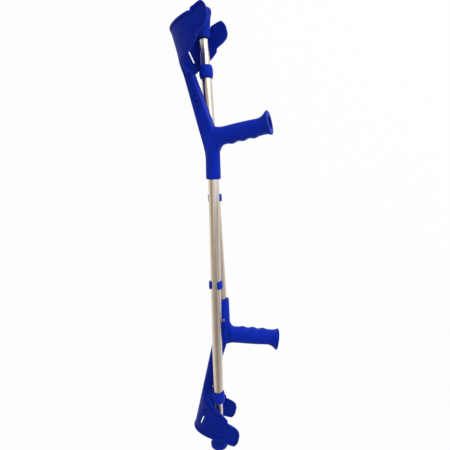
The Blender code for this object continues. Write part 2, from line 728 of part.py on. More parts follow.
def handle_screw(finish):
    """The pan head screw that holds the outer tube in the sleeve."""
    head = SCREW_HEAD_DIAMETER / 2
    shank = SCREW_SHANK_DIAMETER / 2
    floor = SLEEVE_RADIUS - SCREW_HEAD_HEIGHT
    made = turn_to_side(turned_core("handle_screw", [
        (shank - 0.4 * MM, OUTER_BORE - 1.0 * MM),
        (shank, OUTER_BORE - 0.4 * MM),
        (shank, floor),
        (head, floor),
        (head, SLEEVE_RADIUS - 0.8 * MM),
        (head - 0.5 * MM, SLEEVE_RADIUS - 0.2 * MM),
        (head * 0.5, SLEEVE_RADIUS + 0.3 * MM),
    ], SMALL_FACETS))
    return finished(moved(made, (0, 0, SCREW_ABOVE_MOUTH)), finish)


def ferrule(finish):
    """The flared rubber tip with a grooved tread."""
    mouth = FERRULE_MOUTH_DIAMETER / 2
    base = FERRULE_BASE_DIAMETER / 2
    cavity = INNER_RADIUS + SEAT_GAP
    floor = FERRULE_TIP + FERRULE_FLOOR
    profile = [(mouth - 0.6 * MM, FERRULE_MOUTH), (mouth, FERRULE_MOUTH - 0.8 * MM)]
    for share in (0.25, 0.5, 0.72):
        flare = share ** 1.7
        profile.append((mouth + (base - mouth) * flare, FERRULE_MOUTH - FERRULE_LENGTH * share))
    profile += [
        (base, FERRULE_TIP + 2.2 * FERRULE_BASE_ROUND),
        (base - 0.3 * FERRULE_BASE_ROUND, FERRULE_TIP + 0.3 * FERRULE_BASE_ROUND),
        (TREAD_DIAMETER / 2, FERRULE_TIP),
    ]
    groove = TREAD_DIAMETER / 2 - 4.0 * MM
    pad = TREAD_PAD_DIAMETER / 2
    while groove - TREAD_GROOVE > pad + TREAD_GROOVE:
        deep = FERRULE_TIP + TREAD_GROOVE_DEPTH
        profile += [(groove, FERRULE_TIP), (groove - 0.3 * MM, deep)]
        profile += [(groove - TREAD_GROOVE + 0.3 * MM, deep), (groove - TREAD_GROOVE, FERRULE_TIP)]
        groove -= 2 * TREAD_GROOVE
    made = turned_core("ferrule", profile)
    hole = turned_core("cavity", [(cavity, floor), (cavity, FERRULE_MOUTH + 5.0 * MM)])
    combine(made, [hole], "DIFFERENCE")
    return finished(made, finish)


def ferrule_washer(finish):
    """The steel disc that keeps the tube from cutting through the ferrule's floor."""
    made = turned_core("ferrule_washer", [
        (INNER_RADIUS, WASHER_BOTTOM), (INNER_RADIUS, WASHER_BOTTOM + WASHER_THICKNESS),
    ])
    return finished(made, finish)


PIECES = (
    (upper_moulding, "blue_plastic", "frame"),
    (outer_tube, "anodised_tube", "frame"),
    (handle_screw, "brass_screw", "frame"),
    (tube_bush, "bush_plastic", "frame"),
    (clip_ring, "blue_clip", "clip"),
    (clip_pin, "pin_steel", "clip"),
    (lock_collar, "blue_collar", "collar"),
    (inner_tube, "inner_tube_metal", "leg"),
    (inner_tube_plug, "plug_plastic", "leg"),
    (ferrule, "blue_rubber", "leg"),
    (ferrule_washer, "washer_steel", "leg"),
)


def finishes():
    """The materials of both crutches."""
    blue = (0.008, 0.026, 0.30)
    return {
        "blue_plastic": material("blue_plastic", blue, 0.38),
        "blue_clip": material("blue_clip", blue, 0.36),
        "blue_collar": material("blue_collar", blue, 0.36),
        "blue_rubber": material("blue_rubber", (0.009, 0.03, 0.27), 0.55),
        "anodised_tube": material("anodised_tube", (0.55, 0.49, 0.43), 0.3, 1.0),
        "inner_tube_metal": material("inner_tube_metal", (0.58, 0.54, 0.5), 0.28, 1.0),
        "pin_steel": material("pin_steel", (0.66, 0.66, 0.66), 0.25, 1.0),
        "washer_steel": material("washer_steel", (0.6, 0.6, 0.6), 0.35, 1.0),
        "brass_screw": material("brass_screw", (0.72, 0.52, 0.18), 0.3, 1.0),
        "bush_plastic": material("bush_plastic", (0.78, 0.77, 0.72), 0.5),
        "plug_plastic": material("plug_plastic", (0.05, 0.05, 0.05), 0.5),
    }


def empty(name, parent, place):
    """A joint or frame marker."""
    made = bpy.data.objects.new(name, None)
    made.empty_display_size = 30 * MM
    bpy.context.scene.collection.objects.link(made)
    made.parent = parent
    made.matrix_basis = place
    return made


JOINT_PLACES = {
    "frame": (0.0, 0.0, 0.0),
    "clip": (0.0, 0.0, -CLIP_BELOW_SLEEVE),
    "collar": (0.0, 0.0, COLLAR_TOP - COLLAR_LENGTH / 2),
    "leg": (0.0, 0.0, FERRULE_TIP),
}


def build_crutch(number, pair, place, meshes):
    """Hang one crutch's pieces on its own empties."""
    crutch = empty(f"crutch_{number}", pair, place)
    turn_clip = Matrix.Rotation(math.pi, 4, "Z") if number == 2 else Matrix.Identity(4)
    holders = {}
    for holder, point in JOINT_PLACES.items():
        spot = Matrix.Translation(point)
        if holder == "clip":
            spot = spot @ turn_clip
        holders[holder] = empty(f"{holder}_{number}", crutch, spot)
    for name, (mesh, holder) in meshes.items():
        made = bpy.data.objects.new(f"{name}_{number}", mesh)
        bpy.context.scene.collection.objects.link(made)
        made.parent = holders[holder]
        made.location = Vector(JOINT_PLACES[holder]) * -1
    return crutch


def crutch_frame(heading, pitch, grip_lift, cuff_way):
    """The turn of a lying crutch; cuff_way is 1 where its cuff lies towards +Y, or -1."""
    along_y = Vector((
        -math.sin(heading) * math.cos(pitch), math.cos(heading) * math.cos(pitch), math.sin(pitch),
    ))
    level = along_y.cross(Vector((0, 0, 1))).normalized()
    forward = level * math.cos(grip_lift) + level.cross(along_y) * math.sin(grip_lift)
    up = along_y * cuff_way
    return Matrix((forward, up.cross(forward), up)).transposed().to_4x4()


def lying_places():
    """The frames of the two crutches, with crutch 2's crossing point at the origin."""
    turn_1 = crutch_frame(HEADING_1, PITCH_1, GRIP_LIFT_1, 1)
    turn_2 = crutch_frame(HEADING_2, PITCH_2, GRIP_LIFT_2, -1)
    axis_1 = turn_1.to_3x3().col[2]
    axis_2 = turn_2.to_3x3().col[2]
    apart = axis_1.cross(axis_2).normalized()
    if apart.z < 0:
        apart = -apart
    origin_1 = apart * AXES_APART - axis_1 * CROSSING_1
    origin_2 = -axis_2 * CROSSING_2
    return Matrix.Translation(origin_1) @ turn_1, Matrix.Translation(origin_2) @ turn_2


def set_down(places, meshes):
    """Shift both frames so that the pair stands on the floor, centred on the origin."""
    corners = [corner.co for mesh, _ in meshes.values() for corner in mesh.vertices]
    points = np.array([tuple(place @ corner) for place in places for corner in corners])
    low = points.min(axis=0)
    high = points.max(axis=0)
    shift = Matrix.Translation((-(low[0] + high[0]) / 2, -(low[1] + high[1]) / 2, -low[2]))
    return [shift @ place for place in places]


def main():
    """Build both crutches and set the pair down on the floor."""
    for old in list(bpy.data.objects):
        bpy.data.objects.remove(old)
    finish = finishes()
    meshes = {}
    for maker, slot, holder in PIECES:
        made = maker(finish[slot])
        meshes[made.name] = (made.data, holder)
        bpy.data.objects.remove(made)
    pair = empty("pair", None, Matrix.Identity(4))
    for number, place in enumerate(set_down(lying_places(), meshes), start=1):
        build_crutch(number, pair, place, meshes)


main()
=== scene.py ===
"""A pair of forearm crutches, lying head to tail on a pale floor: blue mouldings on drawn tubes."""

import json
import math

import bpy
import numpy as np
from bpy.props import FloatProperty, FloatVectorProperty, IntProperty, PointerProperty
from mathutils import Matrix, Vector


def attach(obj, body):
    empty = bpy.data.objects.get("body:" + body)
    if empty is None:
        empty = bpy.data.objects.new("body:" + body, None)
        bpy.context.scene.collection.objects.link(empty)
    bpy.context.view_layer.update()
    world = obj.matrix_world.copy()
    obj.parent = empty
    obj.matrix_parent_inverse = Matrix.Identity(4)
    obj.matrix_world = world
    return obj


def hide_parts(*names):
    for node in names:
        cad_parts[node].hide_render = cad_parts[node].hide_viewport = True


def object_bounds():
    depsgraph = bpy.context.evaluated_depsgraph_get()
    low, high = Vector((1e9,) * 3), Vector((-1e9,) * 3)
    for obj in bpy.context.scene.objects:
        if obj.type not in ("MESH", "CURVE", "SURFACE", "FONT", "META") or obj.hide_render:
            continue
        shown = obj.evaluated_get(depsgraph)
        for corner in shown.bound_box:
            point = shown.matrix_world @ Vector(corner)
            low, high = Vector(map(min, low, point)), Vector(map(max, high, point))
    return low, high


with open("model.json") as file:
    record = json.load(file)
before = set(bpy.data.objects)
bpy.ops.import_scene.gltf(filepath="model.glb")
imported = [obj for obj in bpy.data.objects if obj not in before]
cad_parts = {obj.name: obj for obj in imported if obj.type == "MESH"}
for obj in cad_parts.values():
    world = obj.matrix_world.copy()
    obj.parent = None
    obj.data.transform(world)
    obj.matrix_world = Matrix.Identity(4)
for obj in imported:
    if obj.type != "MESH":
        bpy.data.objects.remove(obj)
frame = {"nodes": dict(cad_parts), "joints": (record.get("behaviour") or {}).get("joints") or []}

bl_info = {
    "name": "Forearm crutches",
    "version": (1, 0, 0),
    "blender": (4, 5, 0),
    "location": "3D View > Sidebar > Crutches",
    "description": "Moulded, turned and drawn finishes for a pair of forearm crutches",
    "category": "Object",
}

NODES = frame["nodes"]
JOINTS = {joint["name"]: joint for joint in frame["joints"]}
PAIR_LOW, PAIR_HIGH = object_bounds()
CRUTCHES = (1, 2)
MM = 0.001

# Stations along a crutch, from the mouth of the sleeve: up to the cuff, down to the ferrule
COLLAR_STATION = -484.75 * MM
TUBE_END = -483.0 * MM
TUBE_TOP = 97.0 * MM
FERRULE_TIP = -606.0 * MM
SCREW_STATION = 46.6 * MM
CLIP_STATION = -225.0 * MM

# The strut from the side: its back line and the dimples, as distances ahead of the tube and heights
BACK_FOOT = (-16.0 * MM, 59.0 * MM)
BACK_LEAN = math.radians(15.8)
STRUT_HALF_WIDTH = 12.8 * MM
DIMPLES = ((-24.8 * MM, 145.0 * MM), (-28.6 * MM, 156.0 * MM), (-32.3 * MM, 167.0 * MM))
DIMPLE_RADIUS = 2.7 * MM
DIMPLE_DEPTH = 1.7 * MM
DIMPLE_CLEARANCE = 3.0 * MM
DIMPLE_SIDES = 24

# How far the painted shade in a dimple reaches past its edge, and past its floor
SHADE_PAST_EDGE = 0.2 * MM
SHADE_PAST_FLOOR = 0.3 * MM

# The cuff's outline from the side, as distances ahead of the back line and heights, in millimetres
CUFF_OUTLINE = (
    (14, 213), (17, 220), (23, 227.5), (30, 234), (38, 240.5), (46, 246), (54, 252), (64, 260), (68, 264.9),
    (69.2, 270.8), (78, 276), (89, 282.5), (95, 287.5), (99, 292.5), (102, 300), (102, 315), (99, 323.4),
    (95, 325.4), (89, 323.8), (75, 318.5), (69.4, 316), (67.6, 310.4), (58, 311.3), (48, 309.3),
    (32, 306), (17, 303), (5, 301), (-8, 300.5),
)
CUFF_DEPTH = 75.0 * MM
BEAD_WIDTH = 6.4 * MM
GROOVE_SPREAD = 0.8 * MM
# How far the painted highlight along the cuff's rim reaches in from it
RIM_SPREAD = 1.6 * MM

# The long slot through the cuff's wall, on its outer face
SLOT_TOP = (-67.54 * MM, 25.29 * MM, 280.0 * MM)
SLOT_FOOT = (-52.55 * MM, 30.90 * MM, 244.0 * MM)
SLOT_HALF_WIDTH = 1.9 * MM
SLOT_REACH = 14.0 * MM
SLOT_SPREAD = 4.0 * MM
SLOT_SHADOW = 1.2 * MM

# The sleeve flares a little towards its mouth, from this height down, and the flare fades to its bore
FLARE_FROM = 70.0 * MM
SLEEVE_BORE = 11.3 * MM
FLARE_FADE = 2.5 * MM

# Up the strut the blue is painted darker between these heights, as painted shade, and down the tread grime
# thickens between these
CUFF_SHADE_FROM = 20.0 * MM
CUFF_SHADE_TO = 230.0 * MM
GRIME_FROM = FERRULE_TIP + 7.0 * MM
GRIME_TO = FERRULE_TIP + 1.0 * MM

# The grip: its axis, the finger waves under it, and its bore
GRIP_AXIS = ((0.0, 85.1 * MM), (126.0 * MM, 107.6 * MM))
WAVE_FROM = 30.0 * MM
WAVE_TO = 103.0 * MM
WAVE_CREST = 66.0 * MM
WAVE_PITCH = 23.0 * MM
WAVE_END_FADE = 6.0 * MM
WAVE_SIDE_FADE = 9.0 * MM
# Where the grip's bore is painted dark as shade
BORE_FROM = 20.0 * MM
BORE_REACH = 16.0 * MM
BORE_FACING = -0.3

# The ends and holes of both tubes: the first hole of the leg's row stands at the clip
EDGE_BREAK = 0.25 * MM
BORE_CLEARANCE = 5.0 * MM
HOLE_PITCH = 20.0 * MM
HOLES = 13
HOLE_DIAMETER = 4.6 * MM
HOLE_SIDES = 24
HOLE_REACH = 20.0 * MM
SCREW_HOLE_RADIUS = 1.8 * MM
SCREW_HOLE_SIDES = 16
LEG_TOP = 33.0 * MM
LEG_END = -595.6 * MM

# The pan head screw and the clip's pin, as radii and distances from the tube's axis, in millimetres
SCREW_PROFILE = (
    (0.0, 8.8), (1.1, 8.8), (1.5, 9.4), (1.5, 12.8), (3.2, 12.8), (3.2, 13.9), (3.0, 14.4), (2.5, 14.75),
    (1.7, 14.95), (0.8, 15.05), (0.0, 15.08),
)
RECESS_LENGTH = 3.9 * MM
RECESS_WIDTH = 0.95 * MM
RECESS_FLOOR = 13.7 * MM
RECESS_TOOL = 4.0 * MM
PIN_PROFILE = (
    (0.0, -11.7), (0.8, -11.62), (1.4, -11.3), (1.85, -10.75), (2.0, -10.1), (2.0, 13.0), (1.8, 13.35),
    (1.3, 13.5), (0.0, 13.5),
)

# Points nearer than the first count as one. Just after a profile is spun, the second holds
SAME_PLACE = 0.01 * MM
SAME_SPUN_PLACE = 0.005 * MM

# An edge counts as part of a pipe's end up to this rise, and up to this lean off the end's circle
NEARLY_LEVEL = 0.1
NEARLY_ROUND = 0.3

# Triangles of a copied solid join into quads up to these angles
QUAD_BEND = math.radians(35)
QUAD_SKEW = math.radians(60)

# How often each rebuilt surface is smoothed, how much each time, and the clips' share of the small voxel
MOULDING_ROUNDING = 3
COLLAR_ROUNDING = 5
SMALL_ROUNDING = 4
SMOOTHING = 0.5
CLIP_FINENESS = 0.7

# Edges over these angles stay sharp
MOULDING_CORNER = math.radians(40)
MOULDING_SHARP = math.radians(55)
TUBE_SHARP = math.radians(30)
TURNED_SHARP = math.radians(40)

# Colours that no setting holds, in linear light
BLUE_GLINT = (0.10, 0.30, 1.0, 1.0)
TREAD_GRIME = (0.055, 0.055, 0.060)
BUSH_WHITE = (0.78, 0.77, 0.72)
PLUG_BLACK = (0.030, 0.030, 0.032)

# Tones of the room along a measure that rises with Z and falls with Y, so towards the upper cuff
ROOM_TONES = (
    (0.0, (0.62, 0.61, 0.60)), (0.25, (0.64, 0.62, 0.60)), (0.38, (0.56, 0.54, 0.52)),
    (0.50, (1.00, 0.97, 0.94)), (0.60, (1.00, 0.97, 0.94)), (0.66, (0.82, 0.79, 0.76)),
    (0.75, (0.58, 0.55, 0.53)), (0.83, (0.38, 0.35, 0.33)), (1.0, (0.33, 0.30, 0.29)),
)
ROOM_RISE = 0.72
ROOM_FALL = 0.56

# Tones of its sides, with the spans of X, and for the left one of Z, over which they come in
RIGHT_TONE = (0.56, 0.59, 0.67)
RIGHT_SPAN = (0.12, 0.45)
LEFT_TONE = (0.26, 0.25, 0.25)
LEFT_SPAN = (-0.35, -0.75)
OVERHEAD_SPAN = (0.10, 0.50)
LEFT_SHARE = 0.65

# How white the paper and the room behind it look to the camera
PAPER_GLOW = 0.97

# The floor, the window at the right, the key lamp beyond the upper cuff, and the camera's reach, in metres
FLOOR_WIDTH = 24.0
FLOOR_HEIGHT = -0.0002
WINDOW_PLACE = (1.20, 0.65, 1.00)
WINDOW_TARGET = (0.0, 0.65, 0.0)
WINDOW_SIZE = (0.8, 2.2)
WINDOW_TONE = (0.46, 0.64, 1.0)
KEY_PLACE = (1.4, 2.8, 1.6)
KEY_SIZE = (3.4, 3.4)
KEY_TONE = (1.0, 0.98, 0.96)
SENSOR_WIDTH = 36.0
NEAREST_SEEN = 0.01
FARTHEST_SEEN = 50.0


# Settings

LENGTH = {"unit": "LENGTH", "precision": 5}
ANGLE = {"subtype": "ANGLE", "unit": "ROTATION"}
COLOUR = {"subtype": "COLOR", "min": 0, "max": 1}
POWER = {"unit": "POWER", "min": 0}


class CrutchSizes(bpy.types.PropertyGroup):
    """Sizes of the tubes and the lie of the grips, and how finely and softly the pieces are finished."""

    grip_lift_upper: FloatProperty(
        name="Upper grip lift", description="Angle of crutch 1's grip above level",
        default=math.radians(27.84), **ANGLE,
    )
    grip_lift_lower: FloatProperty(
        name="Lower grip lift", description="Angle of crutch 2's grip above level",
        default=math.radians(4.38), **ANGLE,
    )
    moulding_grain: FloatProperty(
        name="Moulding voxel", description="Voxel that the one-piece moulding is blended with",
        default=1.1 * MM, **LENGTH,
    )
    small_grain: FloatProperty(
        name="Small voxel", description="Voxel that collars, clips and ferrules are blended with",
        default=0.5 * MM, **LENGTH,
    )
    wave_lift: FloatProperty(
        name="Wave lift", description="Extra depth of the finger waves", default=0.5 * MM, **LENGTH,
    )
    bead_groove: FloatProperty(
        name="Bead groove", description="Depth of the groove inside the cuff's bead",
        default=0.7 * MM, **LENGTH,
    )
    tube_diameter: FloatProperty(
        name="Tube diameter", description="Outer diameter of the upper tube", default=22.0 * MM, **LENGTH,
    )
    tube_wall: FloatProperty(
        name="Tube wall", description="Wall of both tubes", default=1.2 * MM, **LENGTH,
    )
    leg_diameter: FloatProperty(
        name="Leg diameter", description="Outer diameter of the sliding tube", default=19.0 * MM, **LENGTH,
    )
    tube_sides: IntProperty(
        name="Tube sides", description="Sides of the turned tubes", default=96, min=24,
    )
    slot_narrowing: FloatProperty(
        name="Slot narrowing", description="Share by which the cuff's slot closes up",
        default=0.45, min=0, max=0.8,
    )
    sleeve_flare: FloatProperty(
        name="Sleeve flare", description="Growth of the sleeve's radius at its mouth",
        default=1.1 * MM, **LENGTH,
    )
    turned_sides: IntProperty(
        name="Turned sides", description="Sides of the screw and the pin", default=32, min=12,
    )


class CrutchColours(bpy.types.PropertyGroup):
    """Colours of the finishes, in linear light."""

    moulding: FloatVectorProperty(
        name="Moulding", description="Deep blue of the one-piece moulding",
        default=(0.0058, 0.0245, 0.430), **COLOUR,
    )
    collar: FloatVectorProperty(
        name="Collar", description="Blue of the locking collar", default=(0.0055, 0.0230, 0.375), **COLOUR,
    )
    clip: FloatVectorProperty(
        name="Clip", description="Blue of the height clip", default=(0.0080, 0.0300, 0.420), **COLOUR,
    )
    ferrule: FloatVectorProperty(
        name="Ferrule", description="Blue of the rubber ferrule", default=(0.0055, 0.0210, 0.330), **COLOUR,
    )
    tube: FloatVectorProperty(
        name="Tube", description="Satin anodised tube", default=(0.68, 0.58, 0.46), **COLOUR,
    )
    leg: FloatVectorProperty(
        name="Leg", description="Brighter anodised leg", default=(0.72, 0.63, 0.53), **COLOUR,
    )
    brass: FloatVectorProperty(
        name="Brass", description="Dull brass of the screw", default=(0.60, 0.44, 0.17), **COLOUR,
    )
    steel: FloatVectorProperty(
        name="Steel", description="Plain steel of pin and washer", default=(0.72, 0.72, 0.72), **COLOUR,
    )
    floor: FloatVectorProperty(
        name="Floor", description="Pale floor", default=(0.90, 0.90, 0.90), **COLOUR,
    )


class StudioSettings(bpy.types.PropertyGroup):
    """Camera and light."""

    camera_place: FloatVectorProperty(
        name="Camera place", description="Where the camera stands",
        default=(-0.08986, 0.15012, 0.81247), subtype="TRANSLATION", **LENGTH,
    )
    camera_turn: FloatVectorProperty(
        name="Camera turn", description="Turn of the camera from straight down",
        default=(math.radians(-8.3872), math.radians(-6.3742), math.radians(-2.3362)),
        subtype="EULER", unit="ROTATION",
    )
    lens: FloatProperty(
        name="Lens", description="Focal length on a 36 mm sensor", default=28.712, unit="CAMERA",
    )
    sky: FloatProperty(
        name="Sky", description="Strength of the soft surrounding light", default=1.0, min=0,
    )
    window: FloatProperty(
        name="Side window", description="Power of the wide cool light at the right", default=5.0, **POWER,
    )
    key: FloatProperty(
        name="Key lamp", description="Power of the lamp beyond the upper cuff", default=76.0, **POWER,
    )


# How the crutches lie

def crutch_frame(number):
    """The frame of a lying crutch: origin at the sleeve's mouth, Z to the cuff, X to the grip."""
    sizes = bpy.context.scene.crutch_sizes
    turn = JOINTS[f"collar_{number}_turn"]
    up = Vector(turn["axis"]).normalized()
    origin = Vector(turn["pos_m"]) - up * COLLAR_STATION
    along = up if number == 1 else -up
    lift = sizes.grip_lift_upper if number == 1 else sizes.grip_lift_lower
    level = along.cross(Vector((0, 0, 1))).normalized()
    forward = level * math.cos(lift) + level.cross(along) * math.sin(lift)
    placed = Matrix((forward, up.cross(forward), up)).transposed().to_4x4()
    placed.translation = origin
    return placed


# Modelling helpers

def choose(piece):
    """Select this piece alone and make it active."""
    if bpy.context.mode != "OBJECT":
        bpy.ops.object.mode_set(mode="OBJECT")
    bpy.ops.object.select_all(action="DESELECT")
    piece.select_set(True)
    bpy.context.view_layer.objects.active = piece


def edit(piece, everything=False):
    """Open a piece in edit mode with nothing selected, or everything."""
    choose(piece)
    bpy.ops.object.mode_set(mode="EDIT")
    bpy.ops.mesh.select_all(action="SELECT" if everything else "DESELECT")


def settle():
    """Leave edit mode."""
    bpy.ops.object.mode_set(mode="OBJECT")


def pick_edges(piece, test):
    """In object mode, select the edges that pass a test on their middle and direction."""
    mesh = piece.data
    for part in (mesh.vertices, mesh.edges, mesh.polygons):
        part.foreach_set("select", np.zeros(len(part), bool))
    for edge in mesh.edges:
        start, end = (mesh.vertices[i].co for i in edge.vertices)
        edge.select = test((start + end) / 2, (end - start).normalized())


def read_vectors(mesh, name):
    """The places or normals of a mesh's points, as rows of X, Y and Z."""
    flat = np.empty(len(mesh.vertices) * 3, np.float32)
    mesh.vertices.foreach_get(name, flat)
    return flat.reshape(-1, 3)


def write_places(mesh, places):
    """Move a mesh's points to new places."""
    mesh.vertices.foreach_set("co", places.ravel())
    mesh.update()


def write_mark(mesh, name, shares):
    """Keep a share from 0 to 1 at each point, for a material to read."""
    mark = mesh.attributes.new(name, "FLOAT", "POINT")
    mark.data.foreach_set("value", shares.astype(np.float32))


def finish_with(piece, kind, **settings):
    """Add one modifier and apply it."""
    choose(piece)
    step = piece.modifiers.new(kind.lower(), kind)
    for name, value in settings.items():
        setattr(step, name, value)
    bpy.ops.object.modifier_apply(modifier=step.name)


def cylinder(name, radius, low, high, sides, across=None):
    """A capped cylinder along Z between two heights, or along Y where across gives its middle height."""
    bpy.ops.object.select_all(action="DESELECT")
    middle = (0, 0, (low + high) / 2)
    bpy.ops.mesh.primitive_cylinder_add(vertices=sides, radius=radius, depth=high - low, location=middle)
    piece = bpy.context.active_object
    piece.name = name
    bpy.ops.object.transform_apply(location=True, rotation=True, scale=True)
    if across is not None:
        lay_across(piece, across)
    return piece


def lay_across(piece, height):
    """Lay a piece that stands along Z along Y at a height. With no window, rotate turns the other way."""
    edit(piece, everything=True)
    bpy.ops.transform.rotate(value=math.pi / 2, orient_axis="X", center_override=(0, 0, 0))
    bpy.ops.transform.translate(value=(0, 0, height))
    settle()


def turned(name, profile, sides):
    """A piece turned round Z from a profile of radii and heights in millimetres."""
    bpy.ops.object.select_all(action="DESELECT")
    bpy.ops.mesh.primitive_plane_add(size=MM)
    piece = bpy.context.active_object
    piece.name = name
    bpy.ops.object.mode_set(mode="EDIT")
    bpy.ops.mesh.select_mode(type="VERT")
    bpy.ops.mesh.select_all(action="SELECT")
    bpy.ops.mesh.merge(type="CENTER")
    bpy.ops.transform.translate(value=(profile[0][0] * MM, 0, profile[0][1] * MM))
    for (radius, height), (next_radius, next_height) in zip(profile, profile[1:]):
        step = ((next_radius - radius) * MM, 0, (next_height - height) * MM)
        bpy.ops.mesh.extrude_region_move(TRANSFORM_OT_translate={"value": step})
    bpy.ops.mesh.select_all(action="SELECT")
    bpy.ops.mesh.spin(steps=sides, angle=2 * math.pi, center=(0, 0, 0), axis=(0, 0, 1))
    bpy.ops.mesh.select_all(action="SELECT")
    bpy.ops.mesh.remove_doubles(threshold=SAME_SPUN_PLACE)
    bpy.ops.mesh.normals_make_consistent(inside=False)
    settle()
    return piece


def block(name, size, place):
    """A box of a size, standing round a place."""
    bpy.ops.object.select_all(action="DESELECT")
    bpy.ops.mesh.primitive_cube_add(size=1.0, location=place, scale=size)
    piece = bpy.context.active_object
    piece.name = name
    bpy.ops.object.transform_apply(location=True, rotation=True, scale=True)
    return piece


def combine(piece, operation, tool):
    """Cut a closed tool out of a piece, or join it on, and delete the tool."""
    finish_with(piece, "BOOLEAN", operation=operation, solver="EXACT", object=tool)
    bpy.data.objects.remove(tool)


def cut(piece, tool):
    """Cut a closed tool out of a piece."""
    combine(piece, "DIFFERENCE", tool)


def blank_from(node, name):
    """A clean copy of a solid of crutch 1, in the crutch's own frame, with its facets merged to quads."""
    mesh = NODES[node].data.copy()
    piece = bpy.data.objects.new(name, mesh)
    bpy.context.scene.collection.objects.link(piece)
    mesh.materials.clear()
    mesh.transform(crutch_frame(1).inverted())
    choose(piece)
    bpy.ops.mesh.customdata_custom_splitnormals_clear()
    edit(piece, everything=True)
    bpy.ops.mesh.remove_doubles(threshold=SAME_PLACE)
    bpy.ops.mesh.tris_convert_to_quads(face_threshold=QUAD_BEND, shape_threshold=QUAD_SKEW)
    settle()
    return piece


def round_off(piece, voxel, rounding):
    """Rebuild a piece's surface in voxels and smooth it."""
    finish_with(piece, "REMESH", mode="VOXEL", voxel_size=voxel)
    finish_with(piece, "SMOOTH", factor=SMOOTHING, iterations=rounding)


def shade(piece, angle=None):
    """Smooth shading, with edges over an angle kept sharp."""
    choose(piece)
    if angle is None:
        bpy.ops.object.shade_smooth()
    else:
        bpy.ops.object.shade_smooth_by_angle(angle=angle)


def set_down(piece, number, body, node, finish):
    """Put a piece that was made in a crutch's own frame where it lies, and let it stand for its solid."""
    mesh = piece.data
    places = read_vectors(mesh, "co")
    own_place = mesh.attributes.new("own_place", "FLOAT_VECTOR", "POINT")
    own_place.data.foreach_set("vector", places.ravel())
    mesh.materials.clear()
    mesh.materials.append(finish)
    mesh.transform(crutch_frame(number))
    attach(piece, body)
    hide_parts(node)


def set_down_pair(piece, name, bodies, node, finish, turned_over=False):
    """Set a piece down on crutch 1 and a copy with its own mesh on crutch 2."""
    twin = bpy.data.objects.new(f"{name}_2", piece.data.copy())
    bpy.context.scene.collection.objects.link(twin)
    if turned_over:
        twin.data.transform(Matrix.Rotation(math.pi, 4, "Z"))
    piece.name = f"{name}_1"
    for number, made, body in zip(CRUTCHES, (piece, twin), bodies):
        set_down(made, number, body, f"{node}_{number}", finish)


# The upper moulding

def blend_surface(piece, voxel, rounding, corner):
    """Blend a faceted blank into one soft moulded surface that keeps its corners over an angle."""
    edit(piece)
    bpy.ops.mesh.select_mode(type="EDGE")
    bpy.ops.mesh.edges_select_sharp(sharpness=corner)
    bpy.ops.transform.edge_crease(value=1.0)
    settle()
    finish_with(piece, "SUBSURF", levels=2, render_levels=2)
    round_off(piece, voxel, rounding)


def press_dimples(moulding):
    """Sink the three dimples into the strut's side."""
    low = -STRUT_HALF_WIDTH - DIMPLE_CLEARANCE
    high = -STRUT_HALF_WIDTH + DIMPLE_DEPTH
    for ahead, height in DIMPLES:
        tool = cylinder("dimple", DIMPLE_RADIUS, low, high, DIMPLE_SIDES, across=height)
        tool.data.transform(Matrix.Translation((ahead, 0, 0)))
        cut(moulding, tool)


def about_grip(places, normals):
    """How far points lie above the grip's axis, and how much they face away from it."""
    (root_x, root_z), (end_x, end_z) = GRIP_AXIS
    axis_z = root_z + (end_z - root_z) * (places[:, 0] - root_x) / (end_x - root_x)
    above = places[:, 2] - axis_z
    return above, normals[:, 1] * places[:, 1] + normals[:, 2] * above


def deepen_waves(moulding, lift):
    """Push the finger side of the grip out and in along its waves."""
    mesh = moulding.data
    places = read_vectors(mesh, "co")
    above, facing = about_grip(places, read_vectors(mesh, "normal"))
    below = np.clip(-above / WAVE_SIDE_FADE, 0, 1)
    along = np.clip(np.minimum(places[:, 0] - WAVE_FROM, WAVE_TO - places[:, 0]) / WAVE_END_FADE, 0, 1)
    wave = np.cos(2 * math.pi * (places[:, 0] - WAVE_CREST) / WAVE_PITCH)
    places[:, 2] -= lift * wave * below * along * (facing > 0)
    write_places(mesh, places)


def flare_sleeve(moulding, growth):
    """Widen the outside of the sleeve towards its mouth."""
    mesh = moulding.data
    places = read_vectors(mesh, "co")
    radius = np.maximum(np.hypot(places[:, 0], places[:, 1]), MM)
    outer = np.clip((radius - SLEEVE_BORE) / FLARE_FADE, 0, 1)
    share = np.clip(1 - places[:, 2] / FLARE_FROM, 0, 1)
    places[:, :2] *= (1 + growth * share * outer / radius)[:, None]
    write_places(mesh, places)


def hollow_shade_marks(moulding):
    """Which points lie in the grip's bore or in a dimple, from 0 to 1, to be painted dark as shade."""
    places = read_vectors(moulding.data, "co")
    above, facing = about_grip(places, read_vectors(moulding.data, "normal"))
    inward = facing < BORE_FACING * np.hypot(places[:, 1], above)
    marks = (inward & (places[:, 0] > BORE_FROM) & (np.abs(above) < BORE_REACH)).astype(float)
    sunk = places[:, 1] < DIMPLE_DEPTH + SHADE_PAST_FLOOR - STRUT_HALF_WIDTH
    for ahead, height in DIMPLES:
        away = np.hypot(places[:, 0] - ahead, places[:, 2] - height)
        marks[(away < DIMPLE_RADIUS + SHADE_PAST_EDGE) & sunk] = 1.0
    return marks


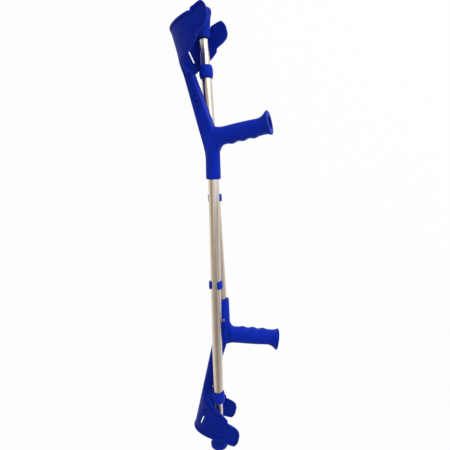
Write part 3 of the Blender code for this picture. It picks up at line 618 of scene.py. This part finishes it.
def close_slot(moulding, share):
    """Draw the walls of the cuff's slot together, and give back which points lie in it, to be painted dark
    as shade.
    """
    mesh = moulding.data
    places = read_vectors(mesh, "co")
    top, foot = np.array(SLOT_TOP), np.array(SLOT_FOOT)
    way = (top - foot) / np.linalg.norm(top - foot)
    half = np.linalg.norm(top - foot) / 2
    offset = places - (top + foot) / 2
    along = offset @ way
    across_way = np.cross(way, (0.0, 1.0, 0.0))
    across_way /= np.linalg.norm(across_way)
    across = offset @ across_way
    near = np.exp(-(across / SLOT_SPREAD) ** 2) * (places[:, 1] > 0)
    near *= np.clip((half + SLOT_REACH / 2 - np.abs(along)) / (SLOT_REACH / 2), 0, 1)
    places -= np.outer(across * share * near, across_way)
    write_places(mesh, places)
    # Points in the slot and just beside it, painted dark as shade
    within = (np.abs(across) < SLOT_HALF_WIDTH + SLOT_SHADOW) & (np.abs(along) < half + SLOT_HALF_WIDTH)
    return within & (places[:, 1] > 0)


def rim_distance(ahead, height):
    """How far points of the side view lie from the cuff's outline."""
    seen = np.stack([ahead, height], axis=1)
    corners = np.array(CUFF_OUTLINE) * MM
    distance = np.full(len(seen), 1.0)
    for start, end in zip(corners, corners[1:]):
        way = end - start
        share = np.clip((seen - start) @ way / (way @ way), 0, 1)
        distance = np.minimum(distance, np.linalg.norm(seen - start - share[:, None] * way, axis=1))
    return distance


def groove_rim(moulding, depth, hollow_shade):
    """Press the groove inside the bead of the cuff, and mark where shade is painted, in the groove and in
    hollow places, and where a highlight is painted, near the edge.
    """
    mesh = moulding.data
    places = read_vectors(mesh, "co")
    normals = read_vectors(mesh, "normal")
    back = BACK_FOOT[0] - math.tan(BACK_LEAN) * (places[:, 2] - BACK_FOOT[1])
    ahead = places[:, 0] - back
    distance = rim_distance(ahead, places[:, 2])
    facing = normals[:, 0] * np.minimum(ahead - CUFF_DEPTH, 0) + normals[:, 1] * places[:, 1]
    groove = np.exp(-((distance - BEAD_WIDTH) / GROOVE_SPREAD) ** 2) * (facing > 0)
    places -= normals * (depth * groove)[:, None]
    write_places(mesh, places)
    # Where shade is painted: the groove, the bore, the dimples and the slot
    write_mark(mesh, "groove", np.maximum(groove, hollow_shade))
    # Where a highlight is painted: a band along the rim
    write_mark(mesh, "edge", np.exp(-(distance / RIM_SPREAD) ** 2))


# The tubes

def pipe(name, diameter, wall, low, high, sides):
    """An open tube with softly broken edges at both ends."""
    tube = cylinder(name, diameter / 2, low, high, sides)
    cut(tube, cylinder("bore", diameter / 2 - wall, low - BORE_CLEARANCE, high + BORE_CLEARANCE, sides))
    middle = diameter / 2 - wall / 2

    def on_end(at, way):
        level = abs(way.z) < NEARLY_LEVEL and (at.z < low + SAME_PLACE or at.z > high - SAME_PLACE)
        on_wall = abs(math.hypot(at.x, at.y) - middle) < wall
        return level and on_wall and abs(way.x * at.x + way.y * at.y) < NEARLY_ROUND * middle

    pick_edges(tube, on_end)
    choose(tube)
    bpy.ops.object.mode_set(mode="EDIT")
    bpy.ops.mesh.select_mode(type="EDGE")
    bpy.ops.mesh.bevel(offset=EDGE_BREAK, segments=2)
    settle()
    return tube


def drill(tube, height):
    """Drill a hole for the clip's pin through both walls of a tube."""
    cut(tube, cylinder("hole", HOLE_DIAMETER / 2, -HOLE_REACH, HOLE_REACH, HOLE_SIDES, across=height))


def drill_for_screw(tube):
    """Drill the hole for the screw through one wall of a tube."""
    tool = cylinder("screw_hole", SCREW_HOLE_RADIUS, 0.0, HOLE_REACH, SCREW_HOLE_SIDES, across=SCREW_STATION)
    cut(tube, tool)


# Materials: values on which arithmetic adds Math nodes

class Value:
    """A value in a tree of nodes."""

    def __init__(self, nodes, socket):
        self.nodes = nodes
        self.socket = socket

    def maths(self, operation, *others):
        made = self.nodes.tree.nodes.new("ShaderNodeMath")
        made.operation = operation
        for socket, item in zip(made.inputs, (self, *others)):
            self.nodes.give(socket, item)
        return Value(self.nodes, made.outputs[0])

    def __add__(self, other):
        return self.maths("ADD", other)

    def __mul__(self, other):
        return self.maths("MULTIPLY", other)

    def __sub__(self, other):
        return self.maths("SUBTRACT", other)

    def __rsub__(self, other):
        return self.maths("MULTIPLY_ADD", -1.0, other)

    def __abs__(self):
        return self.maths("ABSOLUTE")

    __radd__ = __add__
    __rmul__ = __mul__

    def held(self):
        """Kept between 0 and 1."""
        made = self.maths("ADD", 0.0)
        made.socket.node.use_clamp = True
        return made

    def ramp(self, low, high):
        """0 at low, 1 at high, soft in between."""
        soft = {"interpolation_type": "SMOOTHSTEP"}
        return self.nodes.node("ShaderNodeMapRange", soft, Value=self, From_Min=low, From_Max=high)


class Nodes:
    """The nodes of a material or of the world."""

    def __init__(self, tree):
        self.tree = tree

    def give(self, socket, value):
        """Link a value to a socket, or set the socket to a number or a colour."""
        if isinstance(value, Value):
            self.tree.links.new(value.socket, socket)
        else:
            socket.default_value = value

    def node(self, kind, settings=(), output=0, **sockets):
        """Add a node: its settings first, then its sockets, each by its name or as _0 by its number."""
        made = self.tree.nodes.new(kind)
        for name, value in dict(settings).items():
            if name == "stops":
                self.set_stops(made.color_ramp, value)
            else:
                setattr(made, name, value)
        for name, value in sockets.items():
            key = int(name[1:]) if name.startswith("_") else name.replace("_", " ")
            self.give(made.inputs[key], value)
        return Value(self, made.outputs[output])

    def set_stops(self, ramp, stops):
        """Give a colour ramp its tones, the first and last of them at its ends."""
        (_, first), *between, (_, last) = stops
        ramp.elements[0].color = (*first, 1.0)
        ramp.elements[1].color = (*last, 1.0)
        for height, tone in between:
            ramp.elements.new(height).color = (*tone, 1.0)

    def parts(self, vector):
        """The X, Y and Z of a place."""
        split = self.node("ShaderNodeSeparateXYZ", Vector=vector)
        return [Value(self, part) for part in split.socket.node.outputs]

    def mixed(self, share, first, second):
        """Two colours in shares. Each is a value or a plain colour."""
        first, second = (item if isinstance(item, Value) else (*item, 1.0) for item in (first, second))
        return self.node("ShaderNodeMix", {"data_type": "RGBA"}, 2, _0=share, _6=first, _7=second)

    def ray(self, kind):
        """Whether light is traced for the camera, or for a glossy or clear surface."""
        return self.node("ShaderNodeLightPath", output=kind)


class Finish(Nodes):
    """A material built round one Principled shader."""

    def __init__(self, name, **constants):
        self.material = bpy.data.materials.new(name)
        self.material.use_nodes = True
        super().__init__(self.material.node_tree)
        self.shader = self.tree.nodes["Principled BSDF"]
        self.feed(**constants)

    def feed(self, **sockets):
        """Link values to the shader's own sockets, or set them."""
        for name, value in sockets.items():
            self.give(self.shader.inputs[name.replace("_", " ")], value)

    def place(self, own=True):
        """Where a point is: in its crutch's own frame, or in the object's."""
        if own:
            return self.node("ShaderNodeAttribute", {"attribute_name": "own_place"}, "Vector")
        return self.node("ShaderNodeTexCoord", output="Object")

    def mark(self, name):
        """A number that the piece's mesh holds at each point."""
        return self.node("ShaderNodeAttribute", {"attribute_name": name}, "Fac")

    def joined(self, x, y, z):
        """A place from its X, Y and Z."""
        return self.node("ShaderNodeCombineXYZ", X=x, Y=y, Z=z)

    def noise(self, place, scale, detail=2.0, roughness=0.5, distortion=0.0):
        """Soft random shares, near 0.5 on average."""
        return self.node(
            "ShaderNodeTexNoise", Vector=place, Scale=scale, Detail=detail,
            Roughness=roughness, Distortion=distortion,
        )

    def bumps(self, *layers):
        """Chain bump nodes from (height, depth in metres, strength) layers."""
        below = {}
        for height, depth, strength in layers:
            normal = self.node("ShaderNodeBump", Height=height, Distance=depth, Strength=strength, **below)
            below = {"Normal": normal}
        self.feed(**below)


def shaded(colour, factor):
    """A colour made lighter or darker."""
    return tuple(min(channel * factor, 1.0) for channel in colour)


def greyed(colour, share, grey):
    """A colour with a share of grey in it, as on scuffed plastic."""
    return tuple(channel * (1 - share) + grey * share for channel in colour)


def blue_plastic(name, colour, roughness, grain, rim=False):
    """Moulded polypropylene: satin grain, flow marks, scuffs and a parting line. The upper moulding
    also has a painted highlight along its rim, painted shade in its groove and hollow places, and painted
    shade that darkens it up the strut."""
    finish = Finish(name, Specular_IOR_Level=0.18, Specular_Tint=BLUE_GLINT)
    place = finish.place()
    x, y, z = finish.parts(place)
    cloud = finish.noise(place, scale=26.0, detail=3.0)
    flow_way = finish.joined(x * 3.0, y * 3.0, z * 0.7)
    flow = finish.noise(flow_way, scale=60.0, detail=4.0, roughness=0.6, distortion=0.8)
    speck = finish.noise(place, scale=1500.0, detail=1.0)
    scuff_way = finish.joined(x * 0.6 + z * 0.5, y * 1.6, z * 0.35 - x * 0.4)
    scratches = finish.noise(scuff_way, scale=420.0, detail=3.0, roughness=0.7)
    worn_spots = finish.noise(place, scale=34.0)
    scuff = scratches.ramp(0.66, 0.76) * worn_spots.ramp(0.52, 0.66)
    body = finish.mixed(cloud.ramp(0.25, 0.75), shaded(colour, 0.88), shaded(colour, 1.10))
    body = finish.mixed(flow.ramp(0.45, 0.8) * 0.25, body, shaded(colour, 1.25))
    body = finish.mixed(speck.ramp(0.62, 0.8) * 0.18, body, greyed(colour, 0.05, 0.4))
    body = finish.mixed(scuff * 0.35, body, greyed(colour, 0.10, 0.5))
    gloss = roughness + (cloud - 0.5) * 0.12 + scuff * 0.16 + (flow - 0.5) * 0.08
    if rim:
        # Painted shade: the blue is painted darker up the strut towards the cuff
        body = finish.mixed(z.ramp(CUFF_SHADE_FROM, CUFF_SHADE_TO) * 0.5, body, shaded(colour, 0.30))
        # Painted shade: the groove, the grip's bore, the dimples and the slot are painted darker
        groove = finish.mark("groove")
        # Painted highlight: a lighter band along the cuff's rim
        edge = finish.mark("edge") * cloud.ramp(0.35, 0.65)
        body = finish.mixed(groove * 0.55, body, shaded(colour, 0.35))
        body = finish.mixed(edge * 0.30, body, shaded(colour, 1.45))
        gloss = gloss + groove * 0.15 - edge * 0.05
    parting_line = abs(y).ramp(0.35 * MM, 0.08 * MM)
    finish.feed(Base_Color=body, Roughness=gloss.held())
    finish.bumps(
        (finish.noise(place, scale=grain), 0.03 * MM, 0.30),
        (flow, 0.10 * MM, 0.30),
        (finish.noise(place, scale=70.0, detail=1.0), 0.30 * MM, 0.20),
        (1 - scuff, 0.05 * MM, 0.5),
        (parting_line, 0.08 * MM, 0.6),
    )
    return finish.material


def ferrule_rubber(name, colour):
    """Blue rubber: matt, slightly dusty, with grime on the tread."""
    finish = Finish(name, Specular_IOR_Level=0.20, Specular_Tint=BLUE_GLINT)
    place = finish.place()
    _, _, z = finish.parts(place)
    cloud = finish.noise(place, scale=60.0, detail=4.0, roughness=0.6)
    dust = finish.noise(place, scale=240.0, detail=3.0, roughness=0.65)
    tread = z.ramp(GRIME_FROM, GRIME_TO)
    grime = (tread * dust.ramp(0.3, 0.6)).held()
    body = finish.mixed(cloud.ramp(0.3, 0.7), shaded(colour, 0.86), shaded(colour, 1.08))
    body = finish.mixed(dust.ramp(0.5, 0.85) * 0.10, body, greyed(colour, 0.12, 0.30))
    body = finish.mixed(grime * 0.55, body, TREAD_GRIME)
    finish.feed(Base_Color=body, Roughness=(0.62 + (cloud - 0.5) * 0.15 + grime * 0.2).held())
    finish.bumps((finish.noise(place, scale=1600.0), 0.08 * MM, 0.4), (dust, 0.12 * MM, 0.25))
    return finish.material


def drawn_tube(name, colour, roughness, slid=False):
    """Satin anodised aluminium: fine lines along the draw, soft blotches and, on the leg, slide marks."""
    finish = Finish(name, Metallic=1.0, Specular_IOR_Level=0.5)
    place = finish.place()
    x, y, z = finish.parts(place)
    lines = finish.noise(finish.joined(x, y, z * 0.0015), scale=3200.0, detail=1.0)
    streaks = finish.noise(finish.joined(x, y, z * 0.003), scale=800.0, detail=1.0)
    blotch = finish.noise(place, scale=38.0, detail=3.0, roughness=0.55)
    speck = finish.noise(place, scale=900.0, roughness=0.6)
    body = finish.mixed(blotch.ramp(0.3, 0.7), shaded(colour, 0.955), shaded(colour, 1.035))
    body = finish.mixed(streaks.ramp(0.5, 0.75) * 0.25, body, shaded(colour, 0.92))
    body = finish.mixed(speck.ramp(0.66, 0.8) * 0.10, body, shaded(colour, 0.85))
    gloss = roughness + (lines - 0.5) * 0.08 + (streaks - 0.5) * 0.06 + (blotch - 0.5) * 0.04
    if slid:
        scrape = finish.noise(finish.joined(x, y, z * 0.004), scale=1700.0, detail=1.0)
        rub = scrape.ramp(0.62, 0.72)
        body = finish.mixed(rub * 0.30, body, shaded(colour, 1.10))
        gloss = gloss - rub * 0.04
    finish.feed(Base_Color=body, Roughness=gloss.held())
    finish.bumps((lines, 0.001 * MM, 0.15), (streaks, 0.003 * MM, 0.15))
    return finish.material


def plain_metal(name, colour, roughness, own=True, tarnish=0.3):
    """Turned or stamped metal with fine scratches and a little tarnish."""
    finish = Finish(name, Metallic=1.0)
    place = finish.place(own)
    cloud = finish.noise(place, scale=420.0, detail=4.0, roughness=0.6)
    fine = finish.noise(place, scale=2600.0, detail=3.0, roughness=0.7)
    body = finish.mixed(cloud.ramp(0.35, 0.75) * tarnish, colour, shaded(colour, 0.45))
    gloss = roughness + (cloud - 0.5) * 0.2 + (fine - 0.5) * 0.12
    finish.feed(Base_Color=body, Roughness=gloss.held())
    finish.bumps((fine, 0.02 * MM, 0.4), (cloud, 0.03 * MM, 0.2))
    return finish.material


def hidden_plastic(name, colour, roughness):
    """Plain moulded plastic of the inner pieces, with a dull grain and rub marks."""
    finish = Finish(name, Specular_IOR_Level=0.4)
    place = finish.place(own=False)
    cloud = finish.noise(place, scale=120.0, detail=3.0, roughness=0.6)
    rub = finish.noise(place, scale=700.0, detail=4.0, roughness=0.7)
    body = finish.mixed(cloud.ramp(0.3, 0.7), shaded(colour, 0.85), shaded(colour, 1.05))
    body = finish.mixed(rub.ramp(0.6, 0.8) * 0.4, body, greyed(colour, 0.4, 0.35))
    finish.feed(Base_Color=body, Roughness=(roughness + (cloud - 0.5) * 0.2).held())
    finish.bumps((rub, 0.04 * MM, 0.4))
    return finish.material


def floor_paint(name, colour):
    """Seamless white paper, bright to the camera and in reflections, that keeps a soft shadow."""
    finish = Finish(name, Roughness=0.75)
    place = finish.place(own=False)
    tone = finish.noise(place, scale=3.0)
    finish.feed(Base_Color=finish.mixed(tone, shaded(colour, 0.99), shaded(colour, 1.01)))
    finish.bumps((finish.noise(place, scale=400.0), 0.1 * MM, 0.1))
    seen = finish.ray("Is Camera Ray") + finish.ray("Is Glossy Ray") + finish.ray("Is Transmission Ray")
    paper = Value(finish, finish.shader.outputs[0])
    glow = finish.node("ShaderNodeEmission", Color=(1, 1, 1, 1))
    surface = finish.node("ShaderNodeMixShader", _0=seen.held() * PAPER_GLOW, _1=paper, _2=glow)
    finish.give(finish.tree.nodes["Material Output"].inputs["Surface"], surface)
    return finish.material


# The stage

def soft_room(name, strength):
    """A room whose tones change with height, cool at the right and dim at the left, white to the camera."""
    world = bpy.data.worlds.new(name)
    world.use_nodes = True
    room = Nodes(world.node_tree)
    x, y, z = room.parts(room.node("ShaderNodeTexCoord", output="Generated"))
    tone = room.node("ShaderNodeValToRGB", {"stops": ROOM_TONES}, _0=z * ROOM_RISE - y * ROOM_FALL)
    tone = room.mixed(x.ramp(*RIGHT_SPAN), tone, RIGHT_TONE)
    dimmed = x.ramp(*LEFT_SPAN) * z.ramp(*OVERHEAD_SPAN) * LEFT_SHARE
    tone = room.mixed(dimmed, tone, LEFT_TONE)
    tone = room.mixed(room.ray("Is Camera Ray"), tone, (PAPER_GLOW, PAPER_GLOW, PAPER_GLOW))
    background = world.node_tree.nodes["Background"]
    room.give(background.inputs["Color"], tone)
    background.inputs["Strength"].default_value = strength
    return world


def hang_lamp(name, place, target, size, power, colour):
    """A large soft lamp that looks at a target."""
    light = bpy.data.lights.new(name, "AREA")
    light.shape = "RECTANGLE"
    light.size, light.size_y = size
    light.energy = power
    light.color = colour
    lamp = bpy.data.objects.new(name, light)
    lamp.location = place
    lamp.rotation_euler = (Vector(target) - Vector(place)).to_track_quat("-Z", "Y").to_euler()
    bpy.context.scene.collection.objects.link(lamp)


def stand_camera(studio):
    """The camera of the photo, above the pair."""
    lens = bpy.data.cameras.new("camera")
    lens.lens = studio.lens
    lens.sensor_width = SENSOR_WIDTH
    lens.clip_start = NEAREST_SEEN
    lens.clip_end = FARTHEST_SEEN
    camera = bpy.data.objects.new("camera", lens)
    camera.location = studio.camera_place
    camera.rotation_euler = studio.camera_turn
    bpy.context.scene.collection.objects.link(camera)
    bpy.context.scene.camera = camera


# Operators

class CRUTCH_OT_mouldings(bpy.types.Operator):
    """Blend cuff, strut, grip and sleeve of each crutch into one soft moulding"""

    bl_idname = "crutch.mouldings"
    bl_label = "Upper mouldings"

    def execute(self, context):
        sizes = context.scene.crutch_sizes
        moulding = blank_from("upper_moulding_1", "moulding")
        blend_surface(moulding, sizes.moulding_grain, MOULDING_ROUNDING, MOULDING_CORNER)
        press_dimples(moulding)
        deepen_waves(moulding, sizes.wave_lift)
        flare_sleeve(moulding, sizes.sleeve_flare)
        # Marks for painted shade in the bore, the dimples and the slot
        hollow_shade = hollow_shade_marks(moulding)
        hollow_shade = np.maximum(hollow_shade, close_slot(moulding, sizes.slot_narrowing))
        groove_rim(moulding, sizes.bead_groove, hollow_shade)
        shade(moulding, MOULDING_SHARP)
        blue = context.scene.crutch_colours.moulding
        paint = blue_plastic("blue_moulding", blue, roughness=0.56, grain=1300.0, rim=True)
        set_down_pair(moulding, "moulding", ("crutch_1", "crutch_2"), "upper_moulding", paint)
        return {"FINISHED"}


class CRUTCH_OT_tubes(bpy.types.Operator):
    """Turn the upper tubes and the legs with their rows of height holes"""

    bl_idname = "crutch.tubes"
    bl_label = "Tubes and legs"

    def execute(self, context):
        sizes = context.scene.crutch_sizes
        colours = context.scene.crutch_colours
        tube = pipe("tube", sizes.tube_diameter, sizes.tube_wall, TUBE_END, TUBE_TOP, sizes.tube_sides)
        drill(tube, CLIP_STATION)
        drill_for_screw(tube)
        shade(tube, TUBE_SHARP)
        leg = pipe("leg", sizes.leg_diameter, sizes.tube_wall, LEG_END, LEG_TOP, sizes.tube_sides)
        for step in range(HOLES):
            drill(leg, CLIP_STATION + step * HOLE_PITCH)
        shade(leg, TUBE_SHARP)
        satin = drawn_tube("satin_tube", colours.tube, roughness=0.21)
        bright = drawn_tube("bright_leg", colours.leg, roughness=0.26, slid=True)
        set_down_pair(tube, "tube", ("crutch_1", "crutch_2"), "outer_tube", satin)
        set_down_pair(leg, "leg", ("leg_1", "leg_2"), "inner_tube", bright)
        return {"FINISHED"}


class CRUTCH_OT_collars(bpy.types.Operator):
    """Soften the locking collars with their finger facets"""

    bl_idname = "crutch.collars"
    bl_label = "Locking collars"

    def execute(self, context):
        collar = blank_from("lock_collar_1", "collar")
        round_off(collar, context.scene.crutch_sizes.small_grain, COLLAR_ROUNDING)
        shade(collar)
        blue = context.scene.crutch_colours.collar
        paint = blue_plastic("blue_collar_plastic", blue, roughness=0.52, grain=1500.0)
        set_down_pair(collar, "collar", ("collar_1", "collar_2"), "lock_collar", paint)
        return {"FINISHED"}


class CRUTCH_OT_clips(bpy.types.Operator):
    """Round the spring clips and turn their steel pins"""

    bl_idname = "crutch.clips"
    bl_label = "Height clips"

    def execute(self, context):
        sizes = context.scene.crutch_sizes
        colours = context.scene.crutch_colours
        bodies = ("crutch_1", "clip_2")
        ring = blank_from("clip_ring_1", "clip")
        round_off(ring, sizes.small_grain * CLIP_FINENESS, SMALL_ROUNDING)
        shade(ring)
        paint = blue_plastic("blue_clip_plastic", colours.clip, roughness=0.46, grain=1500.0)
        set_down_pair(ring, "clip", bodies, "clip_ring", paint, turned_over=True)
        pin = turned("pin", PIN_PROFILE, sizes.turned_sides)
        lay_across(pin, CLIP_STATION)
        shade(pin, TURNED_SHARP)
        steel = plain_metal("pin_bright", colours.steel, roughness=0.20, tarnish=0.15)
        set_down_pair(pin, "pin", bodies, "clip_pin", steel, turned_over=True)
        return {"FINISHED"}


class CRUTCH_OT_ferrules(bpy.types.Operator):
    """Soften the flared rubber ferrules with their treads"""

    bl_idname = "crutch.ferrules"
    bl_label = "Ferrules"

    def execute(self, context):
        ferrule = blank_from("ferrule_1", "ferrule")
        round_off(ferrule, context.scene.crutch_sizes.small_grain, SMALL_ROUNDING)
        shade(ferrule)
        rubber = ferrule_rubber("blue_ferrule_rubber", context.scene.crutch_colours.ferrule)
        set_down_pair(ferrule, "rubber_tip", ("leg_1", "leg_2"), "ferrule", rubber)
        return {"FINISHED"}


class CRUTCH_OT_screws(bpy.types.Operator):
    """Turn the pan head screws and cut their cross recesses"""

    bl_idname = "crutch.screws"
    bl_label = "Handle screws"

    def execute(self, context):
        screw = turned("screw", SCREW_PROFILE, context.scene.crutch_sizes.turned_sides)
        place = (0, 0, RECESS_FLOOR + RECESS_TOOL / 2)
        recess = block("recess", (RECESS_WIDTH, RECESS_LENGTH, RECESS_TOOL), place)
        combine(recess, "UNION", block("arm", (RECESS_LENGTH, RECESS_WIDTH, RECESS_TOOL), place))
        cut(screw, recess)
        edit(screw, everything=True)
        bpy.ops.mesh.remove_doubles(threshold=SAME_PLACE)
        settle()
        lay_across(screw, SCREW_STATION)
        shade(screw, TURNED_SHARP)
        yellow = context.scene.crutch_colours.brass
        brass = plain_metal("screw_brass", yellow, roughness=0.34, tarnish=0.5)
        set_down_pair(screw, "screw", ("crutch_1", "crutch_2"), "handle_screw", brass)
        return {"FINISHED"}


class CRUTCH_OT_hidden_pieces(bpy.types.Operator):
    """Finish the bushes, plugs and washers that stay as they are"""

    bl_idname = "crutch.hidden_pieces"
    bl_label = "Inner pieces"

    def execute(self, context):
        steel = context.scene.crutch_colours.steel
        finishes = {
            "tube_bush": hidden_plastic("bush_white", BUSH_WHITE, roughness=0.42),
            "inner_tube_plug": hidden_plastic("plug_black", PLUG_BLACK, roughness=0.50),
            "ferrule_washer": plain_metal("washer_steel_plain", steel, roughness=0.32, own=False),
        }
        for name, finish in finishes.items():
            for number in CRUTCHES:
                node = NODES[f"{name}_{number}"]
                node.data.materials.clear()
                node.data.materials.append(finish)
        return {"FINISHED"}


class CRUTCH_OT_studio(bpy.types.Operator):
    """Set the pale floor, the soft light and the camera over the pair"""

    bl_idname = "crutch.studio"
    bl_label = "Studio"

    def execute(self, context):
        studio = context.scene.crutch_studio
        bpy.ops.object.select_all(action="DESELECT")
        bpy.ops.mesh.primitive_plane_add(size=FLOOR_WIDTH, location=(0, 0, FLOOR_HEIGHT))
        floor = context.active_object
        floor.name = "floor"
        floor.data.materials.append(floor_paint("floor_paper", context.scene.crutch_colours.floor))
        context.scene.world = soft_room("soft_room", studio.sky)
        centre = (PAIR_LOW + PAIR_HIGH) / 2
        hang_lamp("window", WINDOW_PLACE, WINDOW_TARGET, WINDOW_SIZE, studio.window, WINDOW_TONE)
        hang_lamp("key", KEY_PLACE, centre, KEY_SIZE, studio.key, KEY_TONE)
        stand_camera(studio)
        context.scene.view_settings.view_transform = "Standard"
        return {"FINISHED"}


class CRUTCH_PT_panel(bpy.types.Panel):
    """The pieces of the crutches, in the order in which they are made"""

    bl_idname = "CRUTCH_PT_panel"
    bl_label = "Forearm crutches"
    bl_space_type = "VIEW_3D"
    bl_region_type = "UI"
    bl_category = "Crutches"

    def draw(self, context):
        for name in SETTINGS:
            box = self.layout.box()
            settings = getattr(context.scene, name)
            for setting in settings.__annotations__:
                box.prop(settings, setting)
        for made in OPERATORS:
            self.layout.operator(made.bl_idname)


OPERATORS = (
    CRUTCH_OT_mouldings, CRUTCH_OT_tubes, CRUTCH_OT_collars, CRUTCH_OT_clips,
    CRUTCH_OT_ferrules, CRUTCH_OT_screws, CRUTCH_OT_hidden_pieces, CRUTCH_OT_studio,
)
SETTINGS = {"crutch_sizes": CrutchSizes, "crutch_colours": CrutchColours, "crutch_studio": StudioSettings}


def register():
    for group in SETTINGS.values():
        bpy.utils.register_class(group)
    for name, group in SETTINGS.items():
        setattr(bpy.types.Scene, name, PointerProperty(type=group))
    for made in (*OPERATORS, CRUTCH_PT_panel):
        bpy.utils.register_class(made)


def unregister():
    for made in (CRUTCH_PT_panel, *reversed(OPERATORS)):
        bpy.utils.unregister_class(made)
    for name, group in SETTINGS.items():
        delattr(bpy.types.Scene, name)
        bpy.utils.unregister_class(group)


def main():
    """Make every piece in order."""
    register()
    bpy.ops.crutch.mouldings()
    bpy.ops.crutch.tubes()
    bpy.ops.crutch.collars()
    bpy.ops.crutch.clips()
    bpy.ops.crutch.ferrules()
    bpy.ops.crutch.screws()
    bpy.ops.crutch.hidden_pieces()
    bpy.ops.crutch.studio()


if __name__ == "__main__":
    main()
